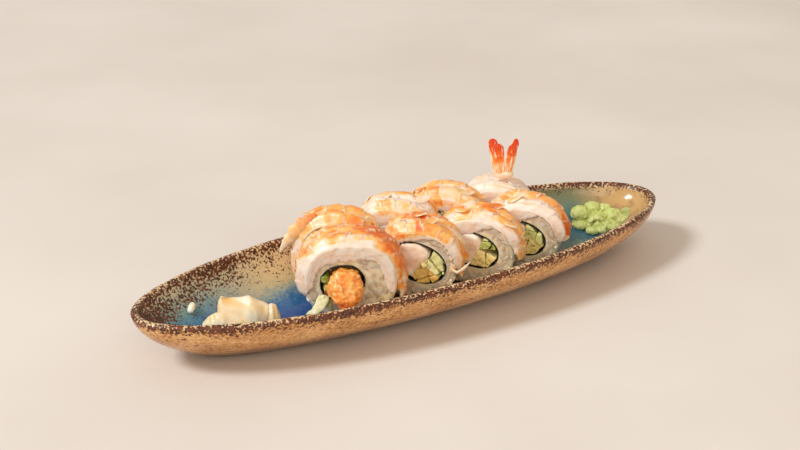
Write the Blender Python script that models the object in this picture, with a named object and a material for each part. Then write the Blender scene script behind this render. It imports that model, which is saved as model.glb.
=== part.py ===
"""Shrimp-topped uramaki rolls, with ginger and wasabi, on a long boat-shaped dish.

The dish stands on z = 0 with its middle at the origin and its length along X. Eight cut pieces
of roll lie across it in two rows. A piece is built in its own terms: u runs to the right across
its cut face, v runs up from its middle, and w runs back from the cut face. Lengths are metres.
"""

import math
import random

import bmesh
import bpy
from mathutils import Matrix, Vector

MM = 0.001
GAP = 0.3 * MM

# Dish: an ellipse in plan, with a curved wall and a rounded lip.
DISH_LENGTH = 360 * MM
DISH_WIDTH = 120 * MM
DISH_HEIGHT = 33.8 * MM
BASE_HALF = (137 * MM, 24.3 * MM)
WALL = 5 * MM
FLOOR_HEIGHT = 6.5 * MM
FLOOR_HALF = (135 * MM, 22 * MM)
DISH_SIDES = 56

# Rolls: rice outline, its hole with the nori sheet, and the shrimp laid over the top.
OUTLINE_POINTS = 24
OUTLINE_POWER = 2.4
RICE_EDGE_RADIUS = 4 * MM
NORI_THICKNESS = 0.8 * MM
RING_HALF = (17.5 * MM, 12.2 * MM)
RING_POWER = 2.2
WIDTH_OF_FULL_RING = 22.6
TOPPING_THICKNESS = 4.4 * MM
TOPPING_LAP = 1.5 * MM
TOPPING_CLEARANCE = 0.5 * MM
DISH_CLEARANCE = 0.7 * MM
SIDE_CLEARANCE = 0.7 * MM
GRAIN_LENGTH = 7.0 * MM
GRAIN_WIDTH = 2.6 * MM
GRAINS_A_FACE = 5

# Each piece of roll: middle of its cut face in plan, heading of that face, half width and half
# height of the rice, thickness, how far the dish's wall lifts it off the floor, place of the ring
# in the face and its size where it isn't in proportion, how far the ring turns clockwise, and how
# far the shrimp hangs at its right and left, as angles below the horizontal, in steps of 15.
# Lengths in this table are millimetres.
ROLLS = {
    "front_1": dict(at=(-55.5, -18.4), heading=240, half=(27.0, 24.0), thick=24.0, lift=0,
                    ring_at=(-2.5, -1), ring=(14.8, 11.4), turn=4, hang=(30, 30)),
    "front_2": dict(at=(-10.0, -17.0), heading=225, half=(22.0, 22.4), thick=22.8, lift=0,
                    ring_at=(1, 2.5), turn=18, hang=(30, 15)),
    "front_3": dict(at=(31.0, -18.0), heading=223, half=(22.6, 21.8), thick=20.4, lift=0,
                    ring_at=(-1, 1.8), ring=(15.5, 10.6), turn=16, hang=(30, 15)),
    "front_4": dict(at=(65.5, -17.0), heading=223, half=(22.4, 21.5), thick=21.5, lift=0,
                    ring_at=(-0.5, 2), ring=(16.0, 10.6), turn=14, hang=(30, 15)),
    "back_1": dict(at=(-46.5, 12.5), heading=232, half=(22.6, 22.0), thick=22.5, lift=3.5,
                   ring_at=(-1, 1), turn=-12, hang=(15, 30)),
    "back_2": dict(at=(-5.2, 15.2), heading=225, half=(22.4, 22.0), thick=20.0, lift=3,
                   ring_at=(-1, 1), turn=-15, hang=(15, 30)),
    "back_3": dict(at=(31.0, 16.8), heading=223, half=(22.2, 21.4), thick=21.0, lift=3.5,
                   ring_at=(-1, 1), turn=-10, hang=(15, 15)),
    "back_4": dict(at=(69.0, 16.8), heading=223, half=(19.5, 18.8), thick=21.0, lift=5,
                   ring_at=(2, 1.5), turn=-8, hang=(30, 15)),
}
# Where flesh meets the green fillings: a place on the line from the ring's middle, in
# millimetres, and the way of the green side, in degrees.
FILLING_LINES = (((1.0, 0.5), -6), ((2.2, 0.5), -22), ((2.6, 0.5), -8))
# Pieces that stand side by side in the dish and press on each other.
SIDE_BY_SIDE = (("back_1", "front_2"), ("back_2", "front_3"), ("back_3", "front_4"))


def clear_scene():
    for item in list(bpy.data.objects):
        bpy.data.objects.remove(item, do_unlink=True)


def finish(name, colour, roughness):
    """A plain Principled material."""
    material = bpy.data.materials.new(name)
    material.use_nodes = True
    shader = material.node_tree.nodes["Principled BSDF"]
    shader.inputs["Base Color"].default_value = (*colour, 1)
    shader.inputs["Roughness"].default_value = roughness
    return material


def make_object(name, bm, material, smooth_below=math.radians(50)):
    """Closes a bmesh into a named object with outward faces."""
    bmesh.ops.recalc_face_normals(bm, faces=bm.faces)
    mesh = bpy.data.meshes.new(name)
    bm.to_mesh(mesh)
    bm.free()
    mesh.materials.append(material)
    mesh.shade_smooth()
    mesh.set_sharp_from_angle(angle=smooth_below)
    thing = bpy.data.objects.new(name, mesh)
    bpy.context.scene.collection.objects.link(thing)
    return thing


def loft(name, rings, material, ring_of_rings=False):
    """Skins rings of equal point counts: capped at both ends, or joined last to first."""
    bm = bmesh.new()
    loops = [[bm.verts.new(point) for point in ring] for ring in rings]
    pairs = list(zip(loops, loops[1:]))
    if ring_of_rings:
        pairs.append((loops[-1], loops[0]))
    else:
        bm.faces.new(loops[0])
        bm.faces.new(loops[-1])
    count = len(rings[0])
    for low, high in pairs:
        for i in range(count):
            j = (i + 1) % count
            bm.faces.new((low[i], low[j], high[j], high[i]))
    bmesh.ops.triangulate(bm, faces=[face for face in bm.faces if len(face.verts) > 3])
    return make_object(name, bm, material)


def ellipse(half_x, half_y, z, sides):
    return [Vector((half_x * math.cos(a), half_y * math.sin(a), z))
            for a in (2 * math.pi * i / sides for i in range(sides))]


# Dish

def outer_half(k):
    """Half length and half width of the outer wall at height fraction k."""
    ease = (1 - k) ** 2
    return (DISH_LENGTH / 2 - (DISH_LENGTH / 2 - BASE_HALF[0]) * ease,
            DISH_WIDTH / 2 - (DISH_WIDTH / 2 - BASE_HALF[1]) * ease)


def inner_half(k):
    """The same for the inner wall, where k runs from the floor to the lip."""
    ease = (1 - k) ** 2
    top = (DISH_LENGTH / 2 - WALL, DISH_WIDTH / 2 - WALL)
    return (top[0] - (top[0] - FLOOR_HALF[0]) * ease, top[1] - (top[1] - FLOOR_HALF[1]) * ease)


def inside_height(x, y):
    """Height of the dish's inner surface at a point of the plan."""
    def reach(k):
        half = inner_half(k)
        return math.hypot(x / half[0], y / half[1])
    if reach(0) <= 1:
        return FLOOR_HEIGHT
    if reach(1) >= 1:
        return DISH_HEIGHT + (1 if reach(1) > 1.002 else 0)
    low, high = 0.0, 1.0
    for _ in range(24):
        middle = (low + high) / 2
        low, high = (middle, high) if reach(middle) > 1 else (low, middle)
    return FLOOR_HEIGHT + high * (DISH_HEIGHT - FLOOR_HEIGHT)


def build_dish(glaze):
    rings = []
    lip = 2.2 * MM
    for k in (0, 0.12, 0.3, 0.55, 0.8):
        rings.append(ellipse(*outer_half(k), k * DISH_HEIGHT, DISH_SIDES))
    rise = DISH_HEIGHT - lip
    rings.append(ellipse(*outer_half(rise / DISH_HEIGHT), rise, DISH_SIDES))
    for inset, height in ((0.7 * MM, DISH_HEIGHT - 0.5 * MM), (WALL / 2, DISH_HEIGHT),
                          (WALL - 0.7 * MM, DISH_HEIGHT - 0.5 * MM)):
        rings.append(ellipse(DISH_LENGTH / 2 - inset, DISH_WIDTH / 2 - inset, height, DISH_SIDES))
    for k in (0.9, 0.65, 0.42, 0.24, 0.1, 0):
        height = FLOOR_HEIGHT + k * (DISH_HEIGHT - FLOOR_HEIGHT)
        rings.append(ellipse(*inner_half(k), height, DISH_SIDES))
    loft("dish", rings, glaze)


# Shape of a piece of roll

class Piece:
    """One cut piece of roll, with its place in the dish."""

    def __init__(self, name, at, heading, half, thick, lift, ring_at, turn, hang, ring=None):
        angle = math.radians(heading)
        self.name = name
        self.centre = Vector((at[0] * MM, at[1] * MM, 0))
        self.normal = Vector((math.cos(angle), math.sin(angle), 0))
        self.right = Vector((0, 0, 1)).cross(self.normal)
        self.half = (half[0] * MM, half[1] * MM)
        self.middle = FLOOR_HEIGHT + GAP + self.half[1] + lift * MM
        self.thick = thick * MM
        self.turn = math.radians(-turn)
        self.ring_at = (ring_at[0] * MM, ring_at[1] * MM)
        share = half[0] / WIDTH_OF_FULL_RING
        self.ring_half = [r * MM for r in ring] if ring else [r * share for r in RING_HALF]
        self.hang = [math.radians(a) for a in hang]
        self.walls = []

    def world(self, u, v, w):
        return self.centre + self.right * u - self.normal * w + Vector((0, 0, self.middle + v))

    def rice_radius(self, angle, w):
        """Radius of the rice: flat sided, barrel shaped, with rounded edges at both cuts."""
        c, s = abs(math.cos(angle)) / self.half[0], abs(math.sin(angle)) / self.half[1]
        radius = (c ** OUTLINE_POWER + s ** OUTLINE_POWER) ** (-1 / OUTLINE_POWER)
        edge = max(0, min(w, self.thick - w))
        return radius * (1.02 - 0.09 * (1 - min(edge / RICE_EDGE_RADIUS, 1)) ** 2)

    def free(self, point):
        """True where a point clears the dish and the pieces beside this one."""
        if point.z < inside_height(point.x, point.y) + DISH_CLEARANCE:
            return False
        return all((point - where).dot(away) >= SIDE_CLEARANCE for where, away in self.walls)

    def squash(self, angle, w, radius):
        """Share of the radius left where the dish or a neighbour presses the piece in."""
        low, high = 0.0, 1.0
        if self.free(self.world(radius * math.cos(angle), radius * math.sin(angle), w)):
            return 1.0
        for _ in range(14):
            share = (low + high) / 2
            r = radius * share
            if self.free(self.world(r * math.cos(angle), r * math.sin(angle), w)):
                low = share
            else:
                high = share
        return low

    def covered(self, angle):
        return -self.hang[0] - 0.1 <= angle <= math.pi + self.hang[1] + 0.1

    def outline(self, angle, w, extra=0.0):
        """World point on the rice, or extra further out, pressed in where it must be."""
        rice = self.rice_radius(angle, w)
        most = rice + (TOPPING_CLEARANCE + TOPPING_THICKNESS if self.covered(angle) else 0)
        radius = (rice + extra) * self.squash(angle, w, most)
        return self.world(radius * math.cos(angle), radius * math.sin(angle), w)

    def ring(self, angle, w, inset):
        """World point on the nori ring's outer face, inset towards its middle."""
        radius = self.ring_radius(angle, inset)
        return self.from_ring(radius * math.cos(angle), radius * math.sin(angle), w)

    def ring_radius(self, angle, inset):
        c = abs(math.cos(angle)) / (self.ring_half[0] - inset)
        s = abs(math.sin(angle)) / (self.ring_half[1] - inset)
        return (c ** RING_POWER + s ** RING_POWER) ** (-1 / RING_POWER)

    def from_ring(self, u, v, w):
        """World point from a place in the ring's own turned axes."""
        c, s = math.cos(self.turn), math.sin(self.turn)
        return self.world(self.ring_at[0] + u * c - v * s, self.ring_at[1] + u * s + v * c, w)


def upright(angle):
    """The same angle, counted from straight down."""
    return angle if angle < 1.5 * math.pi else angle - 2 * math.pi


def outline_angles():
    return [2 * math.pi * i / OUTLINE_POINTS for i in range(OUTLINE_POINTS)]


def build_rice(piece, white, seed):
    """The rice, pierced by the hole that the nori lines, with grains fused to its two cuts."""
    angles = outline_angles()
    edge = RICE_EDGE_RADIUS * 0.6
    stations = (0, edge, piece.thick / 2, piece.thick - edge, piece.thick)
    rings = [[piece.outline(upright(a), w) for a in angles] for w in stations]
    for w in (piece.thick, 0):
        rings.append([piece.ring(a - piece.turn, w, -GAP) for a in angles])
    body = loft(piece.name + "_rice", rings, white, ring_of_rings=True)
    draw = random.Random(seed)
    grains = bpy.data.collections.new(piece.name + "_grains")
    bpy.context.scene.collection.children.link(grains)
    sunk = GRAIN_WIDTH * 0.12
    for w in (sunk, piece.thick - sunk):
        for i in range(GRAINS_A_FACE):
            angle = math.pi * (0.2 + 1.75 * i / GRAINS_A_FACE) + draw.uniform(-0.1, 0.1)
            near = piece.ring(angle - piece.turn, w, 0)
            far = piece.outline(upright(angle), w)
            if (far - near).length < GRAIN_LENGTH:
                continue
            tilt = angle + math.pi / 2 + draw.uniform(-0.4, 0.4)
            along = piece.right * math.cos(tilt) + Vector((0, 0, math.sin(tilt)))
            add_grain(grains, near.lerp(far, 0.46), along, piece.normal)
    fuse(body, grains)


def grain_shape(place, along, out):
    """One grain of rice, about 30 triangles, as a bmesh."""
    side = out.cross(along).normalized()
    bm = bmesh.new()
    bmesh.ops.create_uvsphere(bm, u_segments=5, v_segments=4, radius=1)
    axes = Matrix((side * GRAIN_WIDTH / 2, out * GRAIN_WIDTH / 2, along * GRAIN_LENGTH / 2))
    bmesh.ops.transform(bm, matrix=Matrix.Translation(place) @ axes.transposed().to_4x4(),
                        verts=bm.verts)
    bmesh.ops.recalc_face_normals(bm, faces=bm.faces)
    return bm


def add_grain(collection, place, along, out):
    mesh = bpy.data.meshes.new("grain")
    bm = grain_shape(place, along, out)
    bm.to_mesh(mesh)
    bm.free()
    collection.objects.link(bpy.data.objects.new("grain", mesh))


def fuse(body, collection):
    """Joins a collection's objects to a body in one union, and removes them."""
    if collection.objects:
        union = body.modifiers.new("union", "BOOLEAN")
        union.operation = "UNION"
        union.operand_type = "COLLECTION"
        union.collection = collection
        union.solver = "EXACT"
        bpy.ops.object.select_all(action="DESELECT")
        bpy.context.view_layer.objects.active = body
        bpy.ops.object.modifier_apply(modifier=union.name)
        keep_outer_shell(body.data)
    for item in list(collection.objects):
        bpy.data.objects.remove(item, do_unlink=True)
    bpy.data.collections.remove(collection)


def keep_outer_shell(mesh):
    """Drops the sealed hollows and loose scraps that a union can leave inside a body."""
    bm = bmesh.new()
    bm.from_mesh(mesh)
    waiting, shells = set(bm.verts), []
    while waiting:
        edge_of_shell = [waiting.pop()]
        shell = set(edge_of_shell)
        while edge_of_shell:
            vert = edge_of_shell.pop()
            for link in vert.link_edges:
                other = link.other_vert(vert)
                if other not in shell:
                    shell.add(other)
                    edge_of_shell.append(other)
        waiting -= shell
        shells.append(shell)
    shells.sort(key=len)
    for shell in shells[:-1]:
        bmesh.ops.delete(bm, geom=list(shell), context="VERTS")
    bm.to_mesh(mesh)
    bm.free()


def build_nori(piece, green):
    angles = outline_angles()
    rings = [[piece.ring(a, w, inset) for a in angles]
             for w, inset in ((0, 0), (piece.thick, 0),
                              (piece.thick, NORI_THICKNESS), (0, NORI_THICKNESS))]
    loft(piece.name + "_nori", rings, green, ring_of_rings=True)


def clip(polygon, point, away):
    """The part of a polygon on the side of a line that away points to."""
    kept = []
    for a, b in zip(polygon, polygon[1:] + polygon[:1]):
        side_a, side_b = (a - point).dot(away), (b - point).dot(away)
        if side_a >= 0:
            kept.append(a)
        if (side_a >= 0) != (side_b >= 0):
            kept.append(a.lerp(b, side_a / (side_a - side_b)))
    return kept


def build_cell(piece, name, cuts, front, material):
    """One strip of filling, run through the roll: the ring's inside, cut by lines."""
    inset = NORI_THICKNESS + GAP
    shape = []
    for angle in outline_angles()[::2]:
        radius = piece.ring_radius(angle, inset) - GAP
        shape.append(Vector((radius * math.cos(angle), radius * math.sin(angle))))
    for (x, y), direction in cuts:
        heading = math.radians(direction)
        away = Vector((math.cos(heading), math.sin(heading)))
        shape = clip(shape, Vector((x * MM, y * MM)) + away * GAP / 2, away)
    back = piece.thick + front
    rings = [[piece.from_ring(p.x, p.y, w) for p in shape] for w in (-front, back)]
    loft(f"{piece.name}_{name}", rings, material)


def build_fillings(piece, at, turn, colours):
    """Shrimp on one side of the ring, avocado and cucumber on the other."""
    build_cell(piece, "shrimp", [(at, 180 + turn)], 0.4 * MM, colours["flesh"])
    build_cell(piece, "avocado", [(at, turn), ((at[0], at[1] + 1), turn - 90)], 0.8 * MM,
               colours["avocado"])
    build_cell(piece, "cucumber", [(at, turn), ((at[0], at[1] + 1), turn + 90)], 0.2 * MM,
               colours["cucumber"])


def topping_section(piece, angle, near_tip):
    """Closed section of the shrimp layer at one angle: out along its top, back underneath."""
    edge = RICE_EDGE_RADIUS * 0.6
    middle = piece.thick / 2
    plate = 0.5 * MM * math.sin(7 * angle)
    bands = ((-TOPPING_LAP, 0.35, 0), (edge, 0.95, 1), (middle - 1 * MM, 1.08, 1),
             (middle + 1 * MM, 0.86, 1), (piece.thick - edge, 0.95, 1),
             (piece.thick + TOPPING_LAP, 0.35, 0))
    outer, inner = [], []
    for w, fullness, is_plate in bands:
        w = w + (middle * 0.8 - w) * 0.5 * near_tip
        depth = TOPPING_THICKNESS * fullness * (1 - 0.35 * near_tip) + plate * is_plate
        within = min(max(w, 0), piece.thick)
        shift = -piece.normal * (w - within)
        inner.append(piece.outline(angle, within, TOPPING_CLEARANCE) + shift)
        outer.append(piece.outline(angle, within, TOPPING_CLEARANCE + depth) + shift)
    return outer + inner[::-1]


def build_topping(piece, orange):
    """Shrimp laid over the top: two lapped bands that narrow to a tip at either side."""
    step = 2 * math.pi / OUTLINE_POINTS
    first, last = -round(piece.hang[0] / step), OUTLINE_POINTS // 2 + round(piece.hang[1] / step)
    rings = []
    for i in range(first, last + 1):
        angle = i * step
        beyond = max(-angle / piece.hang[0], (angle - math.pi) / piece.hang[1], 0)
        rings.append(topping_section(piece, angle, beyond ** 1.5))
    loft(piece.name + "_topping", rings, orange)


# The end pieces

def tube_along(name, path, halves, material, sides=10, rough=0.0, seed=1):
    """A lumpy tapered rod through the points of a path, with its own half width at each."""
    draw = random.Random(seed)
    rings = []
    for i, point in enumerate(path):
        ahead = path[min(i + 1, len(path) - 1)] - path[max(i - 1, 0)]
        side = ahead.cross(Vector((0, 0, 1))).normalized()
        up = side.cross(ahead).normalized()
        ring = []
        for j in range(sides):
            a = 2 * math.pi * j / sides
            r = 1 + draw.uniform(-rough, rough)
            ring.append(point + side * halves[i][0] * r * math.cos(a)
                        + up * halves[i][1] * r * math.sin(a))
        rings.append(ring)
    loft(name, rings, material)


def build_fried_shrimp(piece, crust):
    """Battered shrimp through the first piece: its tail end comes out and droops."""
    path = [piece.world(u * MM, v * MM, w * MM) for u, v, w in
            ((-1, -1.2, 23), (-1, -1, 12), (-1, -0.8, 1), (-1.5, -1, -5), (-1.5, -3.6, -9.5),
             (-1, -7.8, -12.5), (-1, -11.5, -13.5))]
    halves = [(a * MM, b * MM) for a, b in
              ((7, 7.4), (8, 8.2), (8.4, 8.6), (9.6, 9.6), (10.2, 9.2), (9, 7.6), (5.4, 4.6))]
    tube_along(piece.name + "_fried_shrimp", path, halves, crust, rough=0.07, seed=11)


def build_tail(piece, shell):
    """The shrimp's tail fan: two lobes that stand up in a V from one stem."""
    foot = piece.world(3.5 * MM, piece.half[1] + TOPPING_THICKNESS + 4 * MM, piece.thick * 0.45)
    facing = math.radians(235)
    normal = Vector((math.cos(facing), math.sin(facing), 0))
    right = Vector((0, 0, 1)).cross(normal)
    lobes = bpy.data.collections.new("tail_lobes")
    bpy.context.scene.collection.children.link(lobes)
    stations = ((0.0, 2.4), (0.2, 3.4), (0.45, 4.6), (0.7, 5.0), (0.88, 4.2), (1.0, 1.6))
    parts = []
    for sign, lean, length, fullness in ((-1, 7, 25 * MM, 0.92), (1, 15, 26 * MM, 0.78)):
        tilt = math.radians(lean) * sign
        along = right * math.sin(tilt) + Vector((0, 0, math.cos(tilt)))
        across = right * math.cos(tilt) - Vector((0, 0, math.sin(tilt)))
        rings = []
        for share, width in stations:
            middle = foot + right * sign * 3.0 * MM + along * (length * share - 2 * MM)
            middle += normal * 2.5 * MM * share ** 2
            thick = 1.3 * MM * (1.1 - 0.5 * share)
            half = width * fullness * MM
            rings.append([middle + across * half * math.cos(a) + normal * thick * math.sin(a)
                          for a in (math.pi * j / 4 for j in range(8))])
        parts.append(loft("tail_lobe", rings, shell))
    stem = [foot + Vector((0, 0, z * MM)) for z in (-2, 1, 4)]
    rings = [[p + right * w * MM * math.cos(a) + normal * 2.2 * MM * math.sin(a)
              for a in (math.pi * j / 4 for j in range(8))]
             for p, w in zip(stem, (6.5, 6, 3.5))]
    body = loft(piece.name + "_tail", rings, shell)
    for lobe in parts:
        bpy.context.scene.collection.objects.unlink(lobe)
        lobes.objects.link(lobe)
    fuse(body, lobes)


def build_strip(name, points, width, thickness, material):
    """A flat strip bent through points, given as a place and the way its width runs."""
    rings = []
    for i, (point, across) in enumerate(points):
        ahead = points[min(i + 1, len(points) - 1)][0] - points[max(i - 1, 0)][0]
        face = ahead.cross(across).normalized()
        half_w, half_t = across.normalized() * width / 2, face * thickness / 2
        rings.append([point + half_w + half_t, point + half_t * 1.5, point - half_w + half_t,
                      point - half_w - half_t, point - half_t * 0.5, point + half_w - half_t])
    loft(name, rings, material)


def build_first_piece_trimmings(piece, colours):
    """Cucumber and avocado beside the fried shrimp, and a pale strip that hangs to the dish."""
    across = piece.right
    rods = (("cucumber", -12.2, 2.4, 2.5, 1.0), ("avocado", -11.4, -3.6, 2.3, 1.6))
    for name, u, v, half, front in rods:
        path = [piece.world(u * MM, v * MM, w * MM) for w in (-front, 2, 12, 22)]
        halves = [(s * half * MM, s * half * MM) for s in (0.75, 1, 1, 0.9)]
        tube_along(f"{piece.name}_{name}", path, halves, colours[name], sides=8, rough=0.05, seed=5)
    places = ((-15.0, -7.0, -1.6), (-16.5, -10.0, -5.0), (-19.0, -13.0, -7.5), (-22.5, -15.5, -9.0))
    points = [(piece.world(u * MM, v * MM, w * MM), across) for u, v, w in places]
    build_strip(piece.name + "_lettuce", points, 7 * MM, 1.4 * MM, colours["lettuce"])


# Ginger, wasabi and the loose grain

def build_slice(name, centre, turn, stations, material):
    """A pickled slice dropped in a fold: a ridge along it, its two sides down to the dish."""
    along = Vector((math.cos(turn), math.sin(turn), 0))
    across = Vector((0, 0, 1)).cross(along)
    rings = []
    for x, front, back, ridge in stations:
        top, bottom = [], []
        for i in range(9):
            angle = math.pi * i / 8
            reach = (front if i < 4 else back) * MM * -math.cos(angle)
            place = centre + along * x * MM + across * reach
            ground = inside_height(place.x, place.y) + DISH_CLEARANCE
            rise = max(ridge * MM - ground, 1 * MM) * math.sin(angle) ** 0.8
            top.append(Vector((place.x, place.y, ground + max(rise, GAP))))
            bottom.append(Vector((place.x, place.y, ground)))
        rings.append(top + bottom[::-1])
    loft(name, rings, material)


# Each slice has its middle, then stations: the place along it, how far its front and back feet
# lie from its ridge, and the ridge's height in the dish. All are in millimetres.
GINGER_TURN = math.radians(-24)
GINGER = {
    "ginger_main": ((-110, 9.5), ((-14.2, 2, 4, 20.5), (-12, 2.8, 6, 25), (-6, 3, 7.5, 24),
                                  (0, 3, 8, 23.6), (1.8, 3.2, 8, 24.2), (3.6, 7.5, 8, 24.3),
                                  (7, 9, 8, 22.5), (9.8, 8, 7, 20.8), (11.8, 4.5, 4, 15))),
    "ginger_left": ((-122.5, 7.4), ((-12.5, 1.5, 1.5, 12.5), (-9, 4, 2.6, 16.5),
                                    (-5, 5, 3.4, 18.6), (0, 5.5, 3.6, 18.4), (5, 5.5, 3.6, 17.6),
                                    (9, 4.5, 3.2, 16), (12.5, 2, 2, 11))),
    "ginger_right": ((-95.2, 2.9), ((-4.1, 5, 4, 14.5), (-2.6, 7, 5, 18), (0, 8, 5.5, 18.3),
                                    (2.6, 7.5, 5, 17.4), (4.6, 4.5, 3.5, 12))),
}


def build_ginger(cream):
    """Three slices across the dish's left end; one lies in front of the largest."""
    for name, ((x, y), stations) in GINGER.items():
        build_slice(name, Vector((x * MM, y * MM, 0)), GINGER_TURN, stations, cream)


def build_loose_grain(white):
    """A grain that has dropped off and lies on the dish's curved wall."""
    ends = []
    for x, y in ((-138.5 * MM, 19.5 * MM), (-133.5 * MM, 25 * MM)):
        ends.append(Vector((x, y, inside_height(x, y) + DISH_CLEARANCE + GRAIN_WIDTH * 0.6)))
    along = (ends[1] - ends[0]).normalized()
    out = along.cross(Vector((1, -1, 0))).normalized()
    make_object("loose_grain", grain_shape((ends[0] + ends[1]) / 2, along, out), white)


def build_wasabi(green):
    """A folded knob of paste: one skin round flattened lumps pressed into one another."""
    lumps = ((0, 1, 11, 9.5, 9.5), (-11, 3, 9.5, 8, 9), (-5, -6, 9, 7, 7), (9, -4, 9.5, 8, 8),
             (5, 7, 9.5, 7.5, 9), (15, 1, 8, 7, 6.5))
    stretch = Vector((1.8, 1.2, 1.0))
    centre = Vector((146 * MM, 7 * MM, inside_height(146 * MM, 7 * MM) + 4.5 * MM))
    turn = Matrix.Rotation(math.radians(-30), 3, "Z")

    def reach(direction):
        """How many times a direction reaches out to the outermost lump's skin."""
        furthest = 0
        for x, y, a, b, c in lumps:
            size = Vector((a, b, c)) * MM
            start = Vector((-x * MM / size.x, -y * MM / size.y, 0))
            along = Vector([direction[i] / size[i] for i in range(3)])
            square = along.dot(along)
            half, rest = along.dot(start) / square, (start.dot(start) - 1) / square
            if half ** 2 > rest:
                furthest = max(furthest, math.sqrt(half ** 2 - rest) - half)
        return furthest

    bm = bmesh.new()
    bmesh.ops.create_icosphere(bm, subdivisions=3, radius=1)
    for vert in bm.verts:
        direction = vert.co * stretch
        place = centre + turn @ (direction * reach(direction))
        ground = inside_height(place.x, place.y) + DISH_CLEARANCE
        vert.co = Vector((place.x, place.y, max(place.z, ground)))
    make_object("wasabi", bm, green)


def main():
    clear_scene()
    colours = {
        "glaze": finish("glaze", (0.30, 0.32, 0.30), 0.25),
        "rice": finish("rice", (0.83, 0.79, 0.72), 0.5),
        "nori": finish("nori", (0.012, 0.016, 0.012), 0.6),
        "topping": finish("cooked shrimp", (0.86, 0.42, 0.17), 0.35),
        "flesh": finish("shrimp flesh", (0.85, 0.62, 0.52), 0.4),
        "avocado": finish("avocado", (0.52, 0.53, 0.16), 0.5),
        "cucumber": finish("cucumber", (0.22, 0.42, 0.08), 0.4),
        "crust": finish("fried batter", (0.68, 0.24, 0.05), 0.5),
        "lettuce": finish("lettuce", (0.62, 0.72, 0.42), 0.4),
        "shell": finish("shrimp shell", (0.85, 0.18, 0.04), 0.3),
        "ginger": finish("pickled ginger", (0.88, 0.74, 0.48), 0.35),
        "wasabi": finish("wasabi", (0.38, 0.52, 0.14), 0.55),
    }
    build_dish(colours["glaze"])
    pieces = {name: Piece(name, **numbers) for name, numbers in ROLLS.items()}
    for left, right in SIDE_BY_SIDE:
        a = pieces[left].world(0, 0, pieces[left].thick / 2)
        b = pieces[right].world(0, 0, pieces[right].thick / 2)
        across = Vector((b.x - a.x, b.y - a.y, 0)).normalized()
        middle = (a + b) / 2
        pieces[left].walls.append((middle, -across))
        pieces[right].walls.append((middle, across))
    for seed, piece in enumerate(pieces.values()):
        build_rice(piece, colours["rice"], seed)
        build_nori(piece, colours["nori"])
        build_topping(piece, colours["topping"])
        if piece.name != "front_1":
            build_fillings(piece, *FILLING_LINES[seed % len(FILLING_LINES)], colours)
    build_fried_shrimp(pieces["front_1"], colours["crust"])
    build_first_piece_trimmings(pieces["front_1"], colours)
    build_tail(pieces["back_4"], colours["shell"])
    build_ginger(colours["ginger"])
    build_loose_grain(colours["rice"])
    build_wasabi(colours["wasabi"])


main()
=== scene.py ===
import math
import random

import bpy
import numpy as np
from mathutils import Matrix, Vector, noise
from mathutils.bvhtree import BVHTree


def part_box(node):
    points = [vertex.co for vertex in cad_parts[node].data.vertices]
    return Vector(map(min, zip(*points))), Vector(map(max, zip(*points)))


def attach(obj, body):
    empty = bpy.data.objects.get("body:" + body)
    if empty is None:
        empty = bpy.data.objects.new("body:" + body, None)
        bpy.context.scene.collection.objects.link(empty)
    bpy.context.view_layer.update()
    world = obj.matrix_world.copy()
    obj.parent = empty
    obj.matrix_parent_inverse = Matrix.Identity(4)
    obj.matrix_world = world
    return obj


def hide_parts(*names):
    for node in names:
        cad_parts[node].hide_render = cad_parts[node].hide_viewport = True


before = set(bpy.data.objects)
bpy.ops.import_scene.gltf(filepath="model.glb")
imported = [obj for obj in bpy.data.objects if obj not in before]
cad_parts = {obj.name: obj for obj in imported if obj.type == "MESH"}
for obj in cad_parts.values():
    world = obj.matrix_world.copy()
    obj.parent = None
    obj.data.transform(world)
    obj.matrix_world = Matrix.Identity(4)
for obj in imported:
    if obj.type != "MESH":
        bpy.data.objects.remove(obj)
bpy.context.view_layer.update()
MM = 0.001

# Camera, table and light. A long lens looks down on the dish from beyond its left end, across a
# plain pale table. A large soft light stands at the dish's left end, and a weak one fills.
VIEW_HEADING = math.radians(-32.625)
VIEW_DROP = math.radians(22.5)
VIEW_FROM = (-0.4771, -0.7290, 0.4081)
LENS = 72
TABLE_SIZE = 8


def new_object(name, data):
    """A new object of the scene, which holds the data."""
    thing = bpy.data.objects.new(name, data)
    bpy.context.scene.collection.objects.link(thing)
    return thing


camera = new_object("camera", bpy.data.cameras.new("camera"))
camera.data.lens = LENS
camera.location = VIEW_FROM
away = Vector((math.sin(VIEW_HEADING) * math.cos(VIEW_DROP),
               -math.cos(VIEW_HEADING) * math.cos(VIEW_DROP), math.sin(VIEW_DROP)))
camera.rotation_euler = away.to_track_quat("Z", "Y").to_euler()
bpy.context.scene.camera = camera
bpy.context.scene.view_settings.view_transform = "Standard"


def tone(red, green, blue):
    """A colour given as it looks on a screen, 0 to 255, as the light that a shader takes."""
    light = [((c / 255 + 0.055) / 1.055) ** 2.4 for c in (red, green, blue)]
    return (*light, 1)


def soft_light(name, place, size, power, colour):
    lamp = bpy.data.lights.new(name, "AREA")
    lamp.shape = "DISK"
    lamp.size = size
    lamp.energy = power
    lamp.color = colour
    thing = new_object(name, lamp)
    thing.location = place
    thing.rotation_euler = Vector(place).to_track_quat("Z", "Y").to_euler()


soft_light("window", place=(-4.2, 0.57, 4.3), size=1.6, power=232, colour=(0.94, 0.97, 1))
soft_light("fill", place=(-0.9, -1.8, 1.2), size=1.6, power=14, colour=(1, 0.9, 0.78))
world = bpy.data.worlds.new("room")
world.use_nodes = True
room_light = world.node_tree.nodes["Background"].inputs
room_light["Color"].default_value = (1, 0.86, 0.72, 1)
room_light["Strength"].default_value = 0.56
bpy.context.scene.world = world

bpy.ops.object.select_all(action="DESELECT")
bpy.ops.mesh.primitive_plane_add(size=TABLE_SIZE)
table = bpy.context.object
table.name = "table"


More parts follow.
